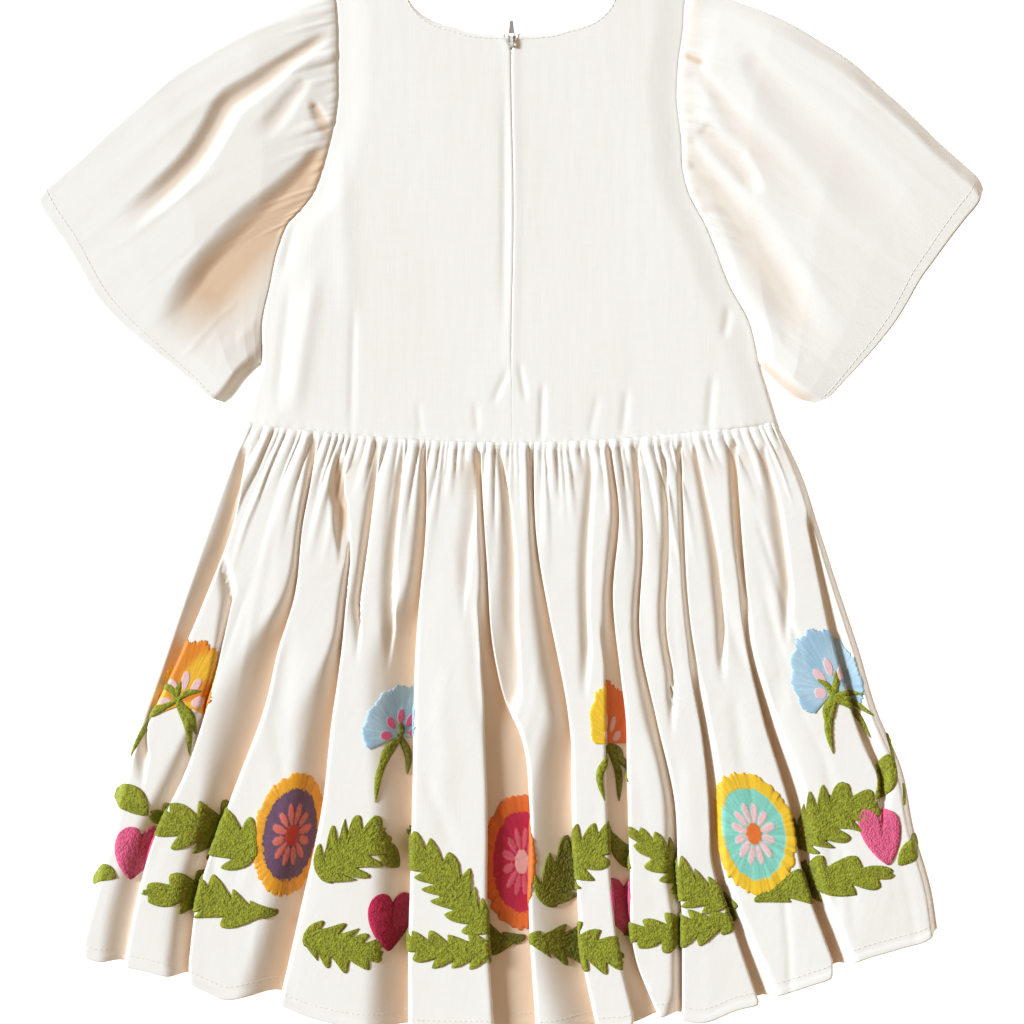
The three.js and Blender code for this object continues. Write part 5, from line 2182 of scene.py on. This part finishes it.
    def build(self, finishes: Wardrobe) -> bpy.types.Object:
        """Makes the tube and puts it in its solid's place.

        Args:
            finishes: the materials.

        Returns:
            The sleeve.
        """
        v_up = np.linspace(0, 1, self.upper)
        v_low = np.linspace(1, 0, self.lower)[1:-1]
        v_ring = np.concatenate([v_up, v_low])
        u, v = np.meshgrid(np.linspace(0, 1, self.stations), v_ring, indexing="ij")
        flat = self._place(u, v)
        round_share = rounded(self.armhole_long * np.minimum(v, 1 - v) / self.fold_round)
        upper = np.arange(len(v_ring))[None, :] < self.upper
        lift, painted_shade = self._lift(flat, u, v)
        seam_dip = 0.9 * (1 - smooth(u * self.LONG / 2.5))
        z_up = self.middle + (self.level + lift - self.middle - seam_dip) * round_share
        z_low = self.middle - (self.middle - self.lowest) * round_share
        z = np.where(upper, z_up, z_low)
        points = np.stack([self.side.sign * flat[..., 0], flat[..., 1], z], axis=-1)
        ends = self.HEM_STITCH_ENDS
        self.hem_row = points[self.HEM_STITCH_STATION, ends : self.upper - ends]
        ring = len(v_ring)
        start = np.arange(self.stations - 1)[:, None] * ring
        a = start + np.arange(ring)
        b = start + (np.arange(ring) + 1) % ring
        faces = np.stack([a, b, b + ring, a + ring], axis=-1).reshape(-1, 4)
        if self.side is Side.LEFT:
            faces = faces[:, ::-1]
        step = np.linalg.norm(np.diff(points[self.MIDDLE_STATION], axis=0), axis=1)
        around = np.concatenate([[0], np.cumsum(step)])
        out = np.linalg.norm(points - points[:1], axis=-1)
        uv = np.stack([np.broadcast_to(around, u.shape), out], axis=-1).reshape(-1, 2) * MM
        painted_shade = np.clip(np.where(upper, painted_shade, 0), 0, 1)
        name = f"{self.name}_cloth"
        piece = make_object(name, points.reshape(-1, 3), faces.tolist(), uv=uv, painted_shade=painted_shade)
        thicken(piece)
        return take_place(piece, self.name, finishes.cloth)


@dataclass(frozen=True)
class Studio:
    """White floor, one soft key light from the upper left, warm fill and the camera overhead."""

    camera_high: float = 2.2
    cloth_level: float = 0.008
    frame_wide: float = 0.6554
    centre: tuple = (0.0003, -0.0038)
    sensor: float = 36.0
    key_from: tuple = (-0.80, 0.28, 0.53)
    key_power: float = 4.9
    key_colour: tuple = (0.76, 0.89, 1.0)
    key_angle: float = 12.0
    fill_colour: tuple = (1.0, 0.72, 0.47)
    fill_power: float = 0.37

    def build(self) -> None:
        """Makes the floor, the lights, the world and the camera."""
        bpy.ops.object.select_all(action="DESELECT")
        bpy.ops.mesh.primitive_plane_add(size=8, location=(0, 0, -0.0002))
        floor = bpy.context.active_object
        floor.name = "floor"
        shader = Shader("floor_white")
        shader.put(shader.surface, "Base Color", (0.9, 0.9, 0.9, 1))
        shader.put(shader.surface, "Roughness", 0.9)
        shader.put(shader.surface, "Emission Color", (1, 1, 1, 1))
        shader.put(shader.surface, "Emission Strength", 0.9)
        floor.data.materials.append(shader.material)
        sun = bpy.data.lights.new("key", "SUN")
        sun.energy = self.key_power
        sun.color = self.key_colour
        sun.angle = math.radians(self.key_angle)
        key = bpy.data.objects.new("key", sun)
        key.rotation_euler = Vector(self.key_from).to_track_quat("Z", "Y").to_euler()
        bpy.context.scene.collection.objects.link(key)
        world = bpy.data.worlds.new("fill")
        world.use_nodes = True
        back = world.node_tree.nodes["Background"]
        back.inputs["Color"].default_value = rgba(self.fill_colour)
        back.inputs["Strength"].default_value = self.fill_power
        bpy.context.scene.world = world
        lens = bpy.data.cameras.new("camera")
        lens.sensor_width = self.sensor
        lens.lens = self.sensor * (self.camera_high - self.cloth_level) / self.frame_wide
        camera = bpy.data.objects.new("camera", lens)
        camera.location = (self.centre[0], self.centre[1], self.camera_high)
        bpy.context.scene.collection.objects.link(camera)
        bpy.context.scene.camera = camera
        bpy.context.scene.view_settings.view_transform = "Standard"


def front_skirt_place(back: SkirtBack) -> Place:
    """The front skirt's places: the back's own, with a shorter hem.

    Args:
        back: the back panel that lies over it.

    Returns:
        A function that gives x and y for shares across and down.
    """

    def place(u: np.ndarray, v: np.ndarray) -> np.ndarray:
        """x and y of places on the front panel."""
        return back.place(u, v * FRONT_SKIRT_SHARE)

    return place


def front_bodice_place(u: np.ndarray, v: np.ndarray) -> np.ndarray:
    """The front bodice's places, from the neckline to the waist.

    Args:
        u: shares across.
        v: shares down.

    Returns:
        x and y of each place.
    """
    half = Line(FRONT_NECK_ROWS, FRONT_NECK_CORNER)

    def top(share: np.ndarray) -> np.ndarray:
        """The shoulder seams and the neckline.

        Args:
            share: shares from 0 to 1.

        Returns:
            x and y of each point.
        """
        point = half.at(1 - np.abs(2 * share - 1))
        point[..., 0] *= np.where(share < 0.5, -1, 1)
        return point

    def left(share: np.ndarray) -> np.ndarray:
        """The left side."""
        return bodice_side(Side.LEFT, share)

    def right(share: np.ndarray) -> np.ndarray:
        """The right side."""
        return bodice_side(Side.RIGHT, share)

    return patch(top, waist_point, left, right, u, v)


def finish_zip(finishes: Wardrobe) -> None:
    """Gives the zip's own solids their finishes.

    Args:
        finishes: the materials.
    """
    zip_finishes = {"zip_tape": finishes.tape, "zip_slider": finishes.enamel, "zip_pull": finishes.steel}
    for node, material in zip_finishes.items():
        for slot in bpy.data.objects[node].material_slots:
            slot.material = material


def sew_rows(
    skirt: SkirtBack, halves: list[BodiceBack], sleeves: list[Sleeve], finishes: Wardrobe
) -> bpy.types.Object:
    """Sews the rows of stitches that show along the hems and the neck.

    Args:
        skirt: the back skirt, with its hem.
        halves: the two halves of the back bodice, with their neck edges.
        sleeves: the two sleeves, with their hems.
        finishes: the materials.

    Returns:
        All the stitches in one piece.
    """
    sewing = Sewing("hem_and_neck_stitches")
    row = SkirtBack.HEM_STITCH_ROW
    sewing.run(skirt.surface.points[row, 2:-2], skirt.surface.normals[row, 2:-2])
    for path in [half.neck_row for half in halves] + [sleeve.hem_row for sleeve in sleeves]:
        sewing.run(path, np.tile((0.0, 0.0, 1.0), (len(path), 1)))
    return sewing.build(finishes)


def main() -> None:
    """Builds the dress piece by piece."""
    logging.basicConfig(level=logging.INFO, format="%(name)s: %(message)s")
    Studio().build()
    finishes = make_finishes()
    skirt = SkirtBack()
    piece = skirt.build(finishes)
    border = Border(skirt.surface).build(finishes)
    log.info("%s: %d faces", piece.name, len(piece.data.polygons))
    front = FlatFront("skirt_front", (0.58, 0.385), 0.17)
    piece = front.build(front_skirt_place(skirt), finishes)
    bodice = FlatFront("bodice_front", (0.36, 0.30), 0.075)
    piece = bodice.build(front_bodice_place, finishes)
    finish_zip(finishes)
    halves = []
    sleeves = []
    for side in Side:
        half = BodiceBack(side)
        halves.append(half)
        piece = half.build(finishes)
        log.info("%s: %d faces", piece.name, len(piece.data.polygons))
        sleeve = Sleeve(side)
        sleeves.append(sleeve)
        piece = sleeve.build(finishes)
        log.info("%s: %d faces", piece.name, len(piece.data.polygons))
    sew_rows(skirt, halves, sleeves, finishes)


if __name__ == "__main__":
    main()
